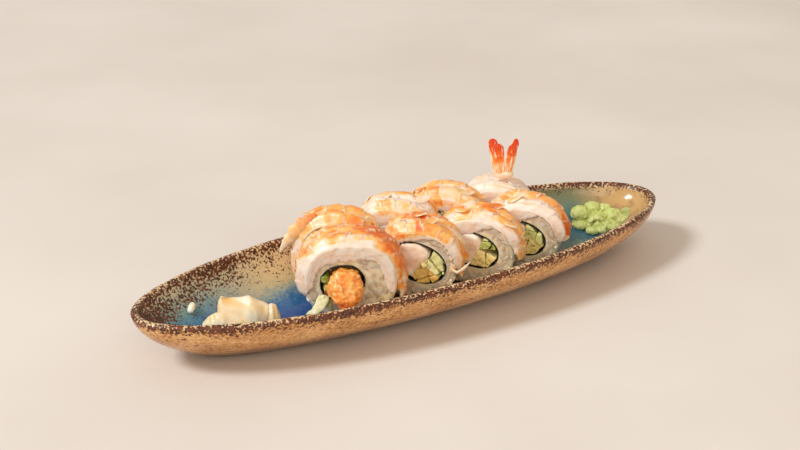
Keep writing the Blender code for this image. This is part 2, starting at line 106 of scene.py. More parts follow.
class Finish:
    """A procedural material. Its nodes are added by kind and fed by sockets or plain values."""

    SOFT = ("Subsurface Weight", "Subsurface Scale", "Subsurface Radius")
    COAT = ("Coat Weight", "Coat Roughness")

    def __init__(self, name, roughness, soft=(), coat=(), **settings):
        """soft: how much light goes in, how far, and the share of each colour. coat: a wet film."""
        self.material = bpy.data.materials.new(name)
        self.material.use_nodes = True
        self.tree = self.material.node_tree
        self.shader = self.tree.nodes["Principled BSDF"]
        self.shader.inputs["Roughness"].default_value = roughness
        for key, value in (*zip(self.SOFT, soft), *zip(self.COAT, coat), *settings.items()):
            self.shader.inputs[key.replace("_", " ")].default_value = value
        self.place = self.node("TexCoord", {}, "Object")

    def node(self, kind, inputs, output=0, **settings):
        made = self.tree.nodes.new("ShaderNode" + kind)
        for name, value in settings.items():
            setattr(made, name, value)
        for key, value in inputs.items():
            self.feed(made.inputs[key], value)
        return made.outputs[output]

    def feed(self, socket, value):
        if isinstance(value, bpy.types.NodeSocket):
            self.tree.links.new(value, socket)
        else:
            socket.default_value = value

    def mottle(self, size, detail=3.0, stretch=(1, 1, 1), roughness=0.5):
        """Fractal noise, about 0.5 on average, with features of a size in metres."""
        place = self.node("Mapping", {"Vector": self.place, "Scale": stretch})
        return self.node("TexNoise", {"Vector": place, "Scale": 1 / size, "Detail": detail,
                                      "Roughness": roughness}, "Fac")

    def attribute(self, name):
        return self.node("Attribute", {}, "Fac", attribute_name=name)

    def maths(self, operation, first, second):
        return self.node("Math", {0: first, 1: second}, operation=operation)

    def sum(self, first, second):
        return self.maths("ADD", first, second)

    def less(self, first, second):
        return self.maths("SUBTRACT", first, second)

    def times(self, first, second):
        return self.maths("MULTIPLY", first, second)

    def step(self, value, low, high):
        """0 below low and 1 above high, eased between them."""
        return self.node("MapRange", {"Value": value, "From Min": low, "From Max": high},
                         interpolation_type="SMOOTHSTEP")

    def ramp(self, value, *stops):
        """Colours, or greys, at places along a value from 0 to 1."""
        made = self.tree.nodes.new("ShaderNodeValToRGB")
        self.feed(made.inputs[0], value)
        elements = made.color_ramp.elements
        while len(elements) < len(stops):
            elements.new(1)
        for element, (place, colour) in zip(elements, stops):
            element.position = place
            element.color = (colour, colour, colour, 1) if isinstance(colour, float) else colour
        return made.outputs[0]

    def mix(self, share, first, second):
        return self.node("Mix", {0: share, 6: first, 7: second}, 2, data_type="RGBA")

    def colour(self, value):
        self.feed(self.shader.inputs["Base Color"], value)

    def roughness(self, value):
        self.feed(self.shader.inputs["Roughness"], value)

    def relief(self, height, depth):
        bump = self.node("Bump", {"Height": height, "Distance": depth, "Strength": 1.0})
        self.feed(self.shader.inputs["Normal"], bump)


plaster = Finish("pale_table", 0.75)
plaster.colour(plaster.ramp(plaster.mottle(0.25, 4), (0.3, tone(219, 211, 203)),
                            (0.7, tone(230, 224, 217))))
table.data.materials.append(plaster.material)

# Dish: thick stoneware, pressed over a boat-shaped mould and finished by hand, so that its lip
# wavers a little. Speckled glaze is blue where it pools and breaks to tan and brown on the wall.
DISH_SIDES = 240
FOOT_HALF = (137 * MM, 24.3 * MM)
FLOOR_HALF = (135 * MM, 22 * MM)
FLOOR_HEIGHT = 6.5 * MM
WALL = 5 * MM
LIP = 2.2 * MM
RECESS = 0.9 * MM
OUTSIDE_STEPS = 16
LIP_STEPS = 12
INSIDE_STEPS = 19
FIRST_STEP = 0.015
dish_low, dish_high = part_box("dish")
RIM_HALF = (dish_high.x + 0.1 * MM, dish_high.y + 0.1 * MM)
RIM_HEIGHT = dish_high.z


def outer_ring(k):
    """Half length, half width and height of the outside at a share of the height."""
    ease = (1 - k) ** 2
    return (*[rim - (rim - foot) * ease for rim, foot in zip(RIM_HALF, FOOT_HALF)],
            k * RIM_HEIGHT)


def inner_ring(k):
    """The same for the inside, from the floor to the lip."""
    ease = (1 - k) ** 2
    return (*[rim - WALL - (rim - WALL - floor) * ease for rim, floor in zip(RIM_HALF, FLOOR_HALF)],
            FLOOR_HEIGHT + k * (RIM_HEIGHT - FLOOR_HEIGHT))


def inside_height(x, y):
    """Height of the dish's inner surface at a place in the plan."""
    low, high = 0.0, 1.0
    for _ in range(20):
        k = (low + high) / 2
        half_x, half_y, _ = inner_ring(k)
        low, high = (k, high) if math.hypot(x / half_x, y / half_y) > 1 else (low, k)
    return FLOOR_HEIGHT + low * (RIM_HEIGHT - FLOOR_HEIGHT)


# Each ring is its half length, half width, height, and place on the wall: -1 at the foot's edge,
# 0 on the lip, 0.75 where the floor begins and 1 in its middle.
dish_rings = [(0.15 * FOOT_HALF[0], 0.15 * FOOT_HALF[1], RECESS, -1.0)]
for inset, height in ((6 * MM, RECESS), (5 * MM, 0), (0.8 * MM, 0)):
    dish_rings.append((FOOT_HALF[0] - inset, FOOT_HALF[1] - inset, height, -1.0))
lip_start = 1 - LIP / RIM_HEIGHT
for i in range(OUTSIDE_STEPS + 1):
    k = FIRST_STEP + (lip_start - FIRST_STEP) * i / OUTSIDE_STEPS
    dish_rings.append((*outer_ring(k), k - 1))
for i in range(1, LIP_STEPS):
    turn = math.pi * i / LIP_STEPS
    inset = WALL / 2 * (1 - math.cos(turn))
    dish_rings.append((RIM_HALF[0] - inset, RIM_HALF[1] - inset,
                       RIM_HEIGHT - LIP * (1 - math.sin(turn)),
                       (2 * i / LIP_STEPS - 1) * LIP / RIM_HEIGHT))
for i in range(INSIDE_STEPS + 1):
    k = lip_start * (1 - i / INSIDE_STEPS)
    dish_rings.append((*inner_ring(k), 0.75 * (1 - k)))
for share in (0.9, 0.75, 0.55, 0.35, 0.15):
    dish_rings.append((FLOOR_HALF[0] * share, FLOOR_HALF[1] * share, FLOOR_HEIGHT,
                       1 - 0.25 * share))


def select_only(*things):
    bpy.ops.object.select_all(action="DESELECT")
    for thing in things:
        thing.select_set(True)
    bpy.context.view_layer.objects.active = things[0]


def named(thing, name):
    """Names an object and its mesh."""
    thing.name = thing.data.name = name
    return thing


def points_of(thing, what="co"):
    points = np.empty(len(thing.data.vertices) * 3, np.float32)
    thing.data.vertices.foreach_get(what, points)
    return points.reshape(-1, 3).astype(float)


def put_points(thing, points):
    thing.data.vertices.foreach_set("co", points.astype(np.float32).ravel())
    thing.data.update()


def mark(thing, name, values):
    """Keeps one number, or one for each vertex, which a material reads."""
    kept = thing.data.attributes.new(name, "FLOAT", "POINT")
    kept.data.foreach_set("value", np.full(len(thing.data.vertices), values, np.float32))


def waver(points, size, seed=0, octaves=2):
    """Smooth unevenness at each point, about -1 to 1, with features of a size."""
    shift = Vector((3.7 * seed, 1.3 * seed, 2.9 * seed))
    return np.array([noise.fractal(Vector(p) / size + shift, 1.0, 2.0, octaves) for p in points])


def ripple(x, y, z, octaves=3, rough=1.0):
    """The same kind of unevenness, read at three directions that are not those of the frame."""
    places = zip(*np.broadcast_arrays(x, y, z))
    return np.array([noise.fractal(Vector(p), rough, 2.0, octaves) for p in places])


def smooth(thing, degrees=180):
    select_only(thing)
    bpy.ops.object.shade_smooth_by_angle(angle=math.radians(degrees))


def edit_all(thing, operator, **settings):
    """Runs a mesh operator on all of a thing in edit mode."""
    select_only(thing)
    bpy.ops.object.mode_set(mode="EDIT")
    bpy.ops.mesh.select_all(action="SELECT")
    operator(**settings)
    bpy.ops.object.mode_set(mode="OBJECT")


def mend(thing):
    """Fills holes and turns faces outward."""
    edit_all(thing, bpy.ops.mesh.fill_holes, sides=0)
    edit_all(thing, bpy.ops.mesh.normals_make_consistent, inside=False)


def hand_in(thing, finish, slot, *nodes):
    """Gives a finished piece its material and its body, and hides the solids it stands for. The
    slot is not used.
    """
    thing.data.materials.clear()
    thing.data.materials.append(finish.material)
    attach(thing, "root")
    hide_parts(*nodes)


bpy.ops.object.select_all(action="DESELECT")
bpy.ops.mesh.primitive_circle_add(vertices=DISH_SIDES, radius=1, fill_type="NOTHING")
dish = named(bpy.context.object, "stoneware_dish")
bpy.ops.object.mode_set(mode="EDIT")
bpy.ops.mesh.select_all(action="SELECT")
half_x, half_y, height, _ = dish_rings[0]
bpy.ops.transform.resize(value=(half_x, half_y, 1), center_override=(0, 0, 0))
bpy.ops.transform.translate(value=(0, 0, height))
for old, new in zip(dish_rings, dish_rings[1:]):
    bpy.ops.mesh.extrude_region_move()
    bpy.ops.transform.translate(value=(0, 0, new[2] - old[2]))
    bpy.ops.transform.resize(value=(new[0] / old[0], new[1] / old[1], 1),
                             center_override=(0, 0, 0))
bpy.ops.object.mode_set(mode="OBJECT")
mend(dish)
points = points_of(dish)
mark(dish, "wall", np.repeat([ring[3] for ring in dish_rings], DISH_SIDES))
lift = np.clip(points[:, 2] / RIM_HEIGHT, 0, 1) ** 2
for axis in range(2):
    points[:, axis] *= 1 + 0.006 * lift * waver(points, 60 * MM, axis)
points[:, 2] += 0.35 * MM * lift * (waver(points, 35 * MM, 5) - 0.6)
put_points(dish, points)
smooth(dish)

glaze = Finish("speckled_glaze", 0.2)
wall = glaze.attribute("wall")
broad = glaze.less(glaze.mottle(22 * MM, 4), 0.5)
fine = glaze.less(glaze.mottle(2.2 * MM, 4, roughness=0.7), 0.5)
drift = glaze.sum(glaze.sum(wall, glaze.times(broad, 0.22)), glaze.times(fine, 0.3))
pool_left = glaze.ramp(drift, (0.0, tone(224, 200, 162)), (0.12, tone(212, 202, 170)),
                       (0.26, tone(172, 174, 148)), (0.38, tone(130, 154, 146)),
                       (0.48, tone(88, 138, 152)), (0.6, tone(44, 104, 158)),
                       (0.8, tone(28, 78, 146)))
pool_middle = glaze.ramp(drift, (0.0, tone(224, 196, 152)), (0.15, tone(228, 202, 156)),
                         (0.35, tone(216, 188, 140)), (0.52, tone(204, 184, 136)),
                         (0.62, tone(140, 160, 150)), (0.7, tone(52, 108, 158)),
                         (0.85, tone(30, 80, 146)))
pool_right = glaze.ramp(drift, (0.0, tone(120, 96, 60)), (0.08, tone(128, 120, 84)),
                        (0.28, tone(116, 126, 98)), (0.46, tone(90, 120, 114)),
                        (0.6, tone(60, 108, 130)), (0.74, tone(84, 116, 124)),
                        (0.86, tone(150, 148, 122)))
pool_end = glaze.ramp(drift, (0.0, tone(160, 116, 70)), (0.1, tone(206, 166, 110)),
                      (0.4, tone(192, 154, 100)), (0.7, tone(150, 142, 104)),
                      (0.9, tone(104, 126, 122)))
blots = glaze.step(glaze.mottle(7 * MM, 4, roughness=0.65), 0.48, 0.62)
pool_end = glaze.mix(glaze.times(blots, 0.45), pool_end, tone(132, 100, 62))
# The pool changes along the dish: blue at the left, green and blue at the right, and tan at the
# right end. Between the rolls the floor is painted brown, as painted shade under them.
length_way = glaze.node("SeparateXYZ", {0: glaze.place}, "X")
inside = glaze.mix(glaze.step(length_way, -0.14, -0.07), pool_left, pool_middle)
# Painted shade: the floor between the rolls is painted brown, for the shadow under them.
between = glaze.times(glaze.step(length_way, -0.06, -0.035), glaze.step(wall, 0.55, 0.7))
inside = glaze.mix(between, inside, tone(140, 108, 64))
inside = glaze.mix(glaze.step(length_way, 0.03, 0.1), inside, pool_right)
inside = glaze.mix(glaze.step(length_way, 0.138, 0.166), inside, pool_end)
haze = glaze.sum(glaze.times(glaze.mottle(1.3 * MM, 3, (0.6, 0.6, 1.0), 0.6), 0.6),
                 glaze.times(glaze.mottle(11 * MM, 3, (0.5, 0.5, 1.4)), 0.4))
outside = glaze.ramp(haze, (0.36, tone(128, 76, 34)), (0.43, tone(186, 130, 72)),
                     (0.52, tone(214, 158, 98)), (0.62, tone(236, 190, 132)))
# Painted shade: the outside is darkened toward the foot.
near_foot = glaze.less(1.0, glaze.step(wall, -0.95, -0.45))
outside = glaze.mix(glaze.times(near_foot, 0.5), outside, tone(96, 64, 38))
ground = glaze.mix(glaze.step(wall, -0.02, 0.02), outside, inside)
# Painted highlight: a pale cream band along the lip.
on_lip = glaze.ramp(glaze.sum(wall, 0.5), (0.42, 0.0), (0.47, 1.0), (0.53, 1.0), (0.6, 0.0))
ground = glaze.mix(on_lip, ground, tone(226, 196, 152))
# Brown speckles crowd toward the lip, more so at the left end, and are few at the right.
crowding = glaze.ramp(glaze.times(glaze.sum(wall, 1), 0.5), (0.0, 0.30), (0.36, 0.34),
                      (0.44, 0.50), (0.475, 0.62), (0.5, 0.52), (0.52, 0.6), (0.6, 0.5),
                      (0.68, 0.42), (0.78, 0.32), (0.88, 0.2))
crowding = glaze.sum(crowding, glaze.times(broad, 0.35))
left_end = glaze.less(1.0, glaze.step(length_way, -0.16, -0.1))
left_end = glaze.times(left_end, glaze.step(wall, 0.12, 0.35))
crowding = glaze.sum(crowding, glaze.times(left_end, 0.15))
bare = glaze.times(glaze.step(length_way, 0.06, 0.13), glaze.step(wall, 0.02, 0.1))
crowding = glaze.sum(crowding, glaze.times(bare, -0.16))
speckle = glaze.step(glaze.sum(glaze.mottle(1.5 * MM, 3, roughness=0.6), crowding), 1.0, 1.04)
brown = glaze.ramp(glaze.mottle(4 * MM, 2), (0.35, tone(66, 30, 12)), (0.65, tone(116, 56, 24)))
glaze.colour(glaze.mix(speckle, ground, brown))
glaze.roughness(glaze.ramp(speckle, (0.0, 0.16), (1.0, 0.42)))
glaze.relief(glaze.sum(speckle, glaze.mottle(3 * MM, 3)), 0.12 * MM)
hand_in(dish, glaze, "glaze", "dish")

# Rice: vinegared short-grain rice, pressed round the nori sheet by a mat and cut through by a wet
# knife, so that its faces are close and flat and its outside is loose. It is a pressed core with
# whole grains on it, some of them sliced by the knife.
HEADINGS = {"front_1": 240, "front_2": 225, "front_3": 223, "front_4": 223,
            "back_1": 232, "back_2": 225, "back_3": 223, "back_4": 223}
ROUND_STEPS = 120
DEEP_STEPS = 9
BLUR = ((-2, 0.1), (-1, 0.2), (0, 0.4), (1, 0.2), (2, 0.1))
FAR = 80 * MM
RICE_SIDES = 132
EDGE_ROUND = 2.6 * MM
GRAIN_LENGTH = 6.4 * MM
GRAIN_WIDTH = 2.3 * MM
GRAIN_COUNT = 360
# Steps that spread places evenly over an area, whatever their number.
EVEN_STEPS = (0.7548777, 0.5698403)


class Roll:
    """A piece of roll as it lies in the frame: u is right across its cut face, v up, w back."""

    def __init__(self, name, heading):
        self.name = name
        self.normal = Vector((math.cos(math.radians(heading)), math.sin(math.radians(heading)), 0))
        self.right = Vector((0, 0, 1)).cross(self.normal)
        sleeve = [(p.co.dot(self.right), p.co.z, p.co.dot(self.normal))
                  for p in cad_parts[name + "_nori"].data.vertices]
        low, high = np.min(sleeve, 0), np.max(sleeve, 0)
        self.thick = high[2] - low[2]
        self.start = (self.right * (low[0] + high[0]) / 2 + self.normal * high[2]
                      + Vector((0, 0, (low[1] + high[1]) / 2)))
        self.rice = self.measure(name + "_rice")
        self.ring = self.measure(name + "_nori")

    def lay(self, u, v, w):
        """Places in the frame for arrays of u, v and w."""
        return (np.array(self.start) + np.outer(u, self.right) + np.outer(v, (0, 0, 1))
                - np.outer(w, self.normal))

    def at(self, u, v, w):
        return self.start + self.right * u + Vector((0, 0, v)) - self.normal * w

    def ways(self, turn):
        """Straight out from the ring's middle at a turn, and the way round from there."""
        return (self.right * math.cos(turn) + Vector((0, 0, math.sin(turn))),
                -self.right * math.sin(turn) + Vector((0, 0, math.cos(turn))))

    def behind(self, points):
        """How far points lie behind the cut face."""
        return (np.array(self.start) - points) @ np.array(self.normal)

    def measure(self, node):
        """Radius of a solid round the ring's middle, by depth and angle."""
        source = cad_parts[node].data
        skin = BVHTree.FromPolygons([p.co for p in source.vertices],
                                    [face.vertices for face in source.polygons])
        rows = []
        for depth in np.linspace(0.1 * MM, self.thick - 0.1 * MM, DEEP_STEPS):
            row = []
            for i in range(ROUND_STEPS):
                way = self.ways(2 * math.pi * i / ROUND_STEPS)[0]
                reach = skin.ray_cast(self.start - self.normal * depth + way * FAR, -way)[3]
                row.append(FAR - reach)
            rows.append(sum(np.roll(row, shift) * weight for shift, weight in BLUR))
        return np.array(rows)

    def radius(self, table, turn, w):
        """Reads a measured table between its rows and columns."""
        column = np.mod(turn / (2 * math.pi), 1) * ROUND_STEPS
        row = np.clip(w / self.thick, 0, 1) * (DEEP_STEPS - 1.001)
        whole, above = column.astype(int), row.astype(int)
        left, right, below = whole % ROUND_STEPS, (whole + 1) % ROUND_STEPS, above + 1
        x, y = column - whole, row - above
        return ((table[above, left] * (1 - x) + table[above, right] * x) * (1 - y)
                + (table[below, left] * (1 - x) + table[below, right] * x) * y)


rolls = {name: Roll(name, heading) for name, heading in HEADINGS.items()}
# The end piece's ring is drawn in on its right, close to the fried shrimp.
round_turns = np.arange(ROUND_STEPS) * 2 * math.pi / ROUND_STEPS
rolls["front_1"].ring *= 1 - 0.3 * np.clip(np.cos(round_turns + 0.35), 0, 1)


def new_ring(name, loop, sides):
    """A new torus, with each vertex's turn round it and its values from the cross loop."""
    bpy.ops.object.select_all(action="DESELECT")
    bpy.ops.mesh.primitive_torus_add(major_segments=sides, minor_segments=len(loop),
                                     major_radius=1, minor_radius=0.3)
    turn = np.repeat(np.arange(sides) * 2 * math.pi / sides, len(loop))
    return named(bpy.context.object, name), turn, [np.tile(values, sides) for values in zip(*loop)]


def new_ball(name, sides, rings, radius=1):
    """A new sphere, with each vertex's share of the way down it and its turn round it."""
    bpy.ops.object.select_all(action="DESELECT")
    bpy.ops.mesh.primitive_uv_sphere_add(segments=sides, ring_count=rings, radius=radius)
    made = named(bpy.context.object, name)
    x, y, z = points_of(made).T / radius
    return made, np.arccos(np.clip(z, -1, 1)) / math.pi, np.arctan2(y, x)


def ball_template(sides, rings):
    """A ball one unit across, as points and faces, to be reshaped and copied many times."""
    made = new_ball("template", sides, rings, 0.5)[0]
    points, faces = points_of(made), [list(face.vertices) for face in made.data.polygons]
    bpy.data.objects.remove(made)
    return points, faces


def grain_template():
    """A plump grain along Z, a little bent."""
    points, faces = ball_template(8, 7)
    points[:, 0] += 0.12 * (2 * points[:, 2]) ** 2
    return points * (GRAIN_WIDTH, GRAIN_WIDTH * 0.9, GRAIN_LENGTH), faces


def join_copies(name, template, places):
    """One mesh of copies of a template, each with its middle, its length's way and its size."""
    points, faces = template
    all_points, all_faces = [], []
    for middle, along, out, size in places:
        side = out.cross(along).normalized()
        out = along.cross(side).normalized()
        axes = np.array((side, out, along.normalized())) * np.reshape(size, (-1, 1))
        all_faces += [[i + len(all_points) * len(points) for i in face] for face in faces]
        all_points.append(points @ axes + np.array(middle))
    mesh = bpy.data.meshes.new(name)
    mesh.from_pydata(np.concatenate(all_points).tolist(), [], all_faces)
    return new_object(name, mesh)


def pebbled(points, size):
    """Bumps like packed grains: 1 in the middle of a bump and less between bumps."""
    return np.array([1 - noise.voronoi(Vector(p) / size)[0][0] * 1.6 for p in points])


def rice_grains(roll, draw):
    """Grains sunk in both cut faces and in the outside that the shrimp leaves bare."""
    places = []
    for i in range(GRAIN_COUNT):
        turn = (2 * math.pi * i * EVEN_STEPS[0]) % (2 * math.pi)
        share = (i * EVEN_STEPS[1]) % 1
        # Grains go in turn to the front face, the back face and the outside.
        side = i % 3
        turn_of, depth_of = np.array([turn]), np.array([0.0])
        outer = roll.radius(roll.rice, turn_of, depth_of)[0]
        hole = roll.radius(roll.ring, turn_of, depth_of)[0] + GRAIN_WIDTH * 0.5
        tilt = draw.uniform(-1.2, 1.2)
        hole += abs(math.sin(tilt)) * GRAIN_LENGTH * 0.5
        out_way, round_way = roll.ways(turn)
        if side < 2:
            sunk = draw.uniform(0.75, 1.1) * MM
            w = sunk if side == 0 else roll.thick - sunk
            r = hole + (outer - GRAIN_WIDTH * 0.9 - hole) * share ** 0.8
            along = round_way * math.cos(tilt) + out_way * math.sin(tilt)
            along += roll.normal * draw.uniform(-0.12, 0.12)
            out = roll.normal if side == 0 else -roll.normal
        else:
            # The topping covers the rest of the outside.
            if 0.3 < turn < math.pi - 0.3:
                continue
            w = roll.thick * (0.08 + 0.84 * share)
            r = roll.radius(roll.rice, turn_of, np.array([w]))[0] - draw.uniform(0.6, 1.0) * MM
            tilt = draw.uniform(-1.5, 1.5)
            along = round_way * math.cos(tilt) + roll.normal * math.sin(tilt)
            out = out_way
        middle = roll.at(r * math.cos(turn), r * math.sin(turn), w)
        places.append((middle, along, out, [draw.uniform(0.85, 1.12)] * 3))
    return places


def slice_flat(roll, points, proud):
    """Cuts back what stands out of a roll's two cut faces by more than a given amount."""
    w = roll.behind(points)
    back = np.minimum(w + proud, 0) + np.maximum(w - roll.thick - proud, 0)
    return points + np.outer(back, roll.normal)


rice = Finish("pressed_rice", 0.36, soft=(0.5, 0.005, (1.0, 0.8, 0.5)), Specular_IOR_Level=0.35)
speck = rice.mottle(3.5 * MM, 3)
# Painted warm shade: the cut faces, and the outside close to them, are painted a warmer tan than
# the rest, for the warm bounce light that the faces take.
rice.colour(rice.mix(rice.attribute("cut"),
                     rice.ramp(speck, (0.3, tone(246, 226, 190)), (0.6, tone(255, 248, 232))),
                     rice.ramp(speck, (0.3, tone(254, 210, 158)), (0.6, tone(255, 234, 197)))))
rice.relief(rice.mottle(1.6 * MM, 2), 0.06 * MM)
grain = grain_template()

for number, roll in enumerate(rolls.values()):
    # The cross loop is the outside, the front face, the hole for the ring and the back face. Each
    # of its points is the share of the way out from the hole, and the depth.
    deep = [EDGE_ROUND * (i / 5) ** 1.6 for i in range(6)]
    side = [*deep, *np.linspace(EDGE_ROUND, roll.thick - EDGE_ROUND, 9)[1:-1],
            *[roll.thick - d for d in reversed(deep)]]
    loop = [(1.0, w) for w in reversed(side[:len(side) // 2])]
    loop += [(f, 0.0) for f in np.linspace(1, 0, 15)[1:]]
    loop += [(0.0, w) for w in np.linspace(0, roll.thick, 5)[1:]]
    loop += [(f, roll.thick) for f in np.linspace(0, 1, 15)[1:-1]]
    loop += [(1.0, w) for w in reversed(side[len(side) // 2:])]
    core, turn, (share, w) = new_ring(roll.name + "_pressed_rice", loop, RICE_SIDES)
    outer = roll.radius(roll.rice, turn, w)
    hole = roll.radius(roll.ring, turn, w) + 0.2 * MM
    rim = np.clip(np.minimum(w, roll.thick - w) / EDGE_ROUND, 0, 1)
    outer *= 1 - 0.035 * (1 - rim) ** 2
    r = hole + (outer - hole) * share
    points = roll.lay(r * np.cos(turn), r * np.sin(turn), w)
    put_points(core, points)
    mend(core)
    bumps = 0.1 * pebbled(points, 2.4 * MM) + 0.4 * waver(points, 9 * MM, number)
    bumps *= np.clip(share * 4, 0, 1) * MM
    points += points_of(core, "normal") * (bumps - (0.1 + 0.2 * (share > 0.97)) * MM)[:, None]
    put_points(core, points)
    grains = join_copies(roll.name + "_grains", grain, rice_grains(roll, random.Random(number)))
    put_points(grains, slice_flat(roll, points_of(grains), 0.12 * MM))
    select_only(core, grains)
    bpy.ops.object.join()
    w = roll.behind(points_of(core))
    # cut is 1 on and near the cut faces, where the rice is painted in warm shade.
    mark(core, "cut", np.clip(1 - np.minimum(w, roll.thick - w) / (2 * MM), 0, 1))
    smooth(core)
    hand_in(core, rice, "rice", roll.name + "_rice")

# Nori: one toasted sheet of seaweed round the filling, cut with the roll, so its edge is ragged
# and stands a little out of the face.
SHEET_SIDES = 180
SHEET_THICKNESS = 0.3 * MM
# How ragged the edge is, how far it stands out of the face, and how crumpled the sheet is.
SHEET_WEAR = (0.6 * MM, 0.4 * MM, 0.45 * MM)
END_SHEET_WEAR = (1.4 * MM, 0.8 * MM, 0.9 * MM)
nori = Finish("toasted_nori", 0.55, Specular_IOR_Level=0.35)
nori.colour(nori.ramp(nori.mottle(3 * MM, 4), (0.35, tone(16, 16, 10)), (0.7, tone(42, 46, 26))))
nori.relief(nori.mottle(0.8 * MM, 3), 0.2 * MM)

for number, roll in enumerate(rolls.values()):
    ragged, proud, crumple = END_SHEET_WEAR if roll.name == "front_1" else SHEET_WEAR
    depths = np.linspace(0, 1, 9)
    loop = [(0.0, 1.0 - d) for d in depths] + [(1.0, d) for d in depths]
    sheet, turn, (inner, share) = new_ring(roll.name + "_nori_sheet", loop, SHEET_SIDES)
    w = -proud + (roll.thick + 2 * proud) * share
    fray = np.array([noise.fractal(Vector((3 * math.cos(a), 3 * math.sin(a), number)) * 2.2,
                                   0.8, 2.2, 3) for a in turn])
    w += ragged * fray * (1 - 2 * share) ** 3
    wrinkle = ripple(np.cos(turn) * 5, np.sin(turn) * 5, share * 3 + number, 2)
    r = roll.radius(roll.ring, turn, w) + 0.05 * MM - inner * SHEET_THICKNESS + crumple * wrinkle
    put_points(sheet, roll.lay(r * np.cos(turn), r * np.sin(turn), w))
    mend(sheet)
    smooth(sheet, 50)
    hand_in(sheet, nori, "nori", roll.name + "_nori")

# Shrimp topping: cooked shrimp, split from below and opened flat, laid side by side over each
# roll before it is cut. The shell side's flesh is orange in overlapping plates with cream edges;
# the cut flesh at a fillet's two long margins is white. It is moist and a little glassy.
FILLET_ROUND = 56
FILLET_LONG = 150
PLATE_LENGTH = 9.5 * MM
EDGE_BEND = 0.3 * MM
BEND_PATH = 3.2 * MM
SWAY = 1.6 * MM
RAGGED = 1.3 * MM
PLATE_BEND = 3.6 * MM
FIBRE_DEPTH = 0.16 * MM
UNDER_GAP = 0.35 * MM

# The fillets of each roll, front one last so that it laps the others. Angles are in degrees and
# lengths in millimetres; three numbers stand for the right tip, the middle and the left tip.
# tips: where it ends; front and rear: its margins, back from the cut face, and below 0 down the
# face; depth: thickness; white: share of bare white flesh at the front and rear margins; flare:
# how far the right and left tips stand off the rice; strong: strength of the orange.
FILLETS = {
    "front_1": (dict(tips=(-22, 214), front=(-1, 6, 11), rear=25.6, depth=3.6, flare=(4.4, 0.5),
                     white=(0.04, 0.06), strong=1.25),
                dict(tips=(-12, 195), front=(-9, -14, -8.5), rear=(3.5, 11.5, 20), depth=3.6,
                     white=((0.7, 0.62, 0.5), (0.04, 0.06, 0.3)), flare=(0.6, 0.2), strong=1.1)),
    "front_2": (dict(tips=(-14, 190), front=9.5, rear=24.2, depth=3.6, flare=(2.2, 0.2),
                     white=(0.1, 0.1), strong=1.05),
                dict(tips=(-12, 192), front=(3, -9, -10), rear=12.5, depth=3.7,
                     flare=(1.2, 0.2), white=((0.3, 0.03, 0.03), 0.06), strong=1.0)),
    "front_3": (dict(tips=(-14, 190), front=(2, 8, 8), rear=21.6, depth=3.9, flare=(4.2, 0.3),
                     white=(0.05, 0.1), strong=1.1),
                dict(tips=(-4, 192), front=(3, -12.5, -12.5), rear=(9, 11.5, 11.5), depth=3.6,
                     white=((0.5, 0.52, 0.16), 0.06), flare=(0.8, 0.3), strong=0.85)),
    "front_4": (dict(tips=(-8, 190), front=9, rear=22.8, depth=4.2, flare=(4.0, 0.3),
                     white=(0.05, 0.06), strong=1.3),
                dict(tips=(-4, 192), front=(1, -12.5, -12.5), rear=(9, 12, 12), depth=3.6,
                     white=((0.7, 0.72, 0.6), 0.06), flare=(1.4, 0.3), strong=0.75)),
    "back_1": (dict(tips=(-14, 208), front=9.5, rear=23.8, depth=3.7, flare=(0.3, 0.8),
                    white=(0.12, 0.1), strong=0.9),
               dict(tips=(-14, 212), front=-5, rear=12.6, depth=3.8, flare=(0.3, 2.5),
                    white=(0.08, 0.1), strong=0.85)),
    "back_2": (dict(tips=(-14, 206), front=8.5, rear=21.3, depth=3.8, flare=(0.3, 0.6),
                    white=(0.3, 0.1), strong=0.75),
               dict(tips=(-14, 208), front=-14, rear=11.5, depth=3.8, flare=(0.3, 0.4),
                    white=((0.1, 0.2, 0.4), 0.3), strong=0.75)),
    "back_3": (dict(tips=(-14, 194), front=9, rear=22.3, depth=3.7, flare=(0.3, 0.6),
                    white=(0.1, 0.2), strong=0.7),
               dict(tips=(-14, 194), front=-14, rear=12, depth=3.8, flare=(0.3, 0.4),
                    white=(0.1, 0.1), strong=0.7)),
    "back_4": (dict(tips=(-30, 192), front=9, rear=22.3, depth=3.6, flare=(0.3, 0.4),
                    white=(0.4, 0.4), strong=0.3),
               dict(tips=(-30, 192), front=-14, rear=12, depth=3.6, flare=(0.5, 0.4),
                    white=(0.7, 0.3), strong=0.3)),
}


def over_the_edge(roll, turn, across, height):
    """Places at a height over the rice, at a distance back from the cut face round its edge."""
    w = np.clip(across, 0, None)
    top = roll.radius(roll.rice, turn, w)
    bend = np.clip(-across / BEND_PATH, 0, math.pi / 2)
    down = np.clip(-across - BEND_PATH * math.pi / 2, 0, None)
    r = top - EDGE_BEND + (EDGE_BEND + height) * np.cos(bend) - down
    w = w - (EDGE_BEND + height) * np.sin(bend)
    return roll.lay(r * np.cos(turn), r * np.sin(turn), w)


def plates(along, across, seed):
    """Overlapping plates along a fillet: how far each point is from its plate's free edge."""
    draw = random.Random(seed)
    shape = ripple(along / (6 * MM), across / (4 * MM), seed)
    slant = draw.choice((-1, 1)) * draw.uniform(0.3, 0.8)
    bow = draw.uniform(2.0, 5.0) * MM
    middle = (across.max() + across.min()) / 2
    half = (across.max() - across.min()) / 2
    place = (along + slant * (across - middle) - bow * ((across - middle) / half) ** 2
             + PLATE_BEND * shape)
    return np.mod(place / PLATE_LENGTH + draw.random(), 1), np.floor(place / PLATE_LENGTH)


def from_tips(value, down):
    """A fact along a fillet: one number, or those at its right tip, middle and left tip."""
    return np.interp(down, (0, 0.5, 1), value) if isinstance(value, tuple) else value


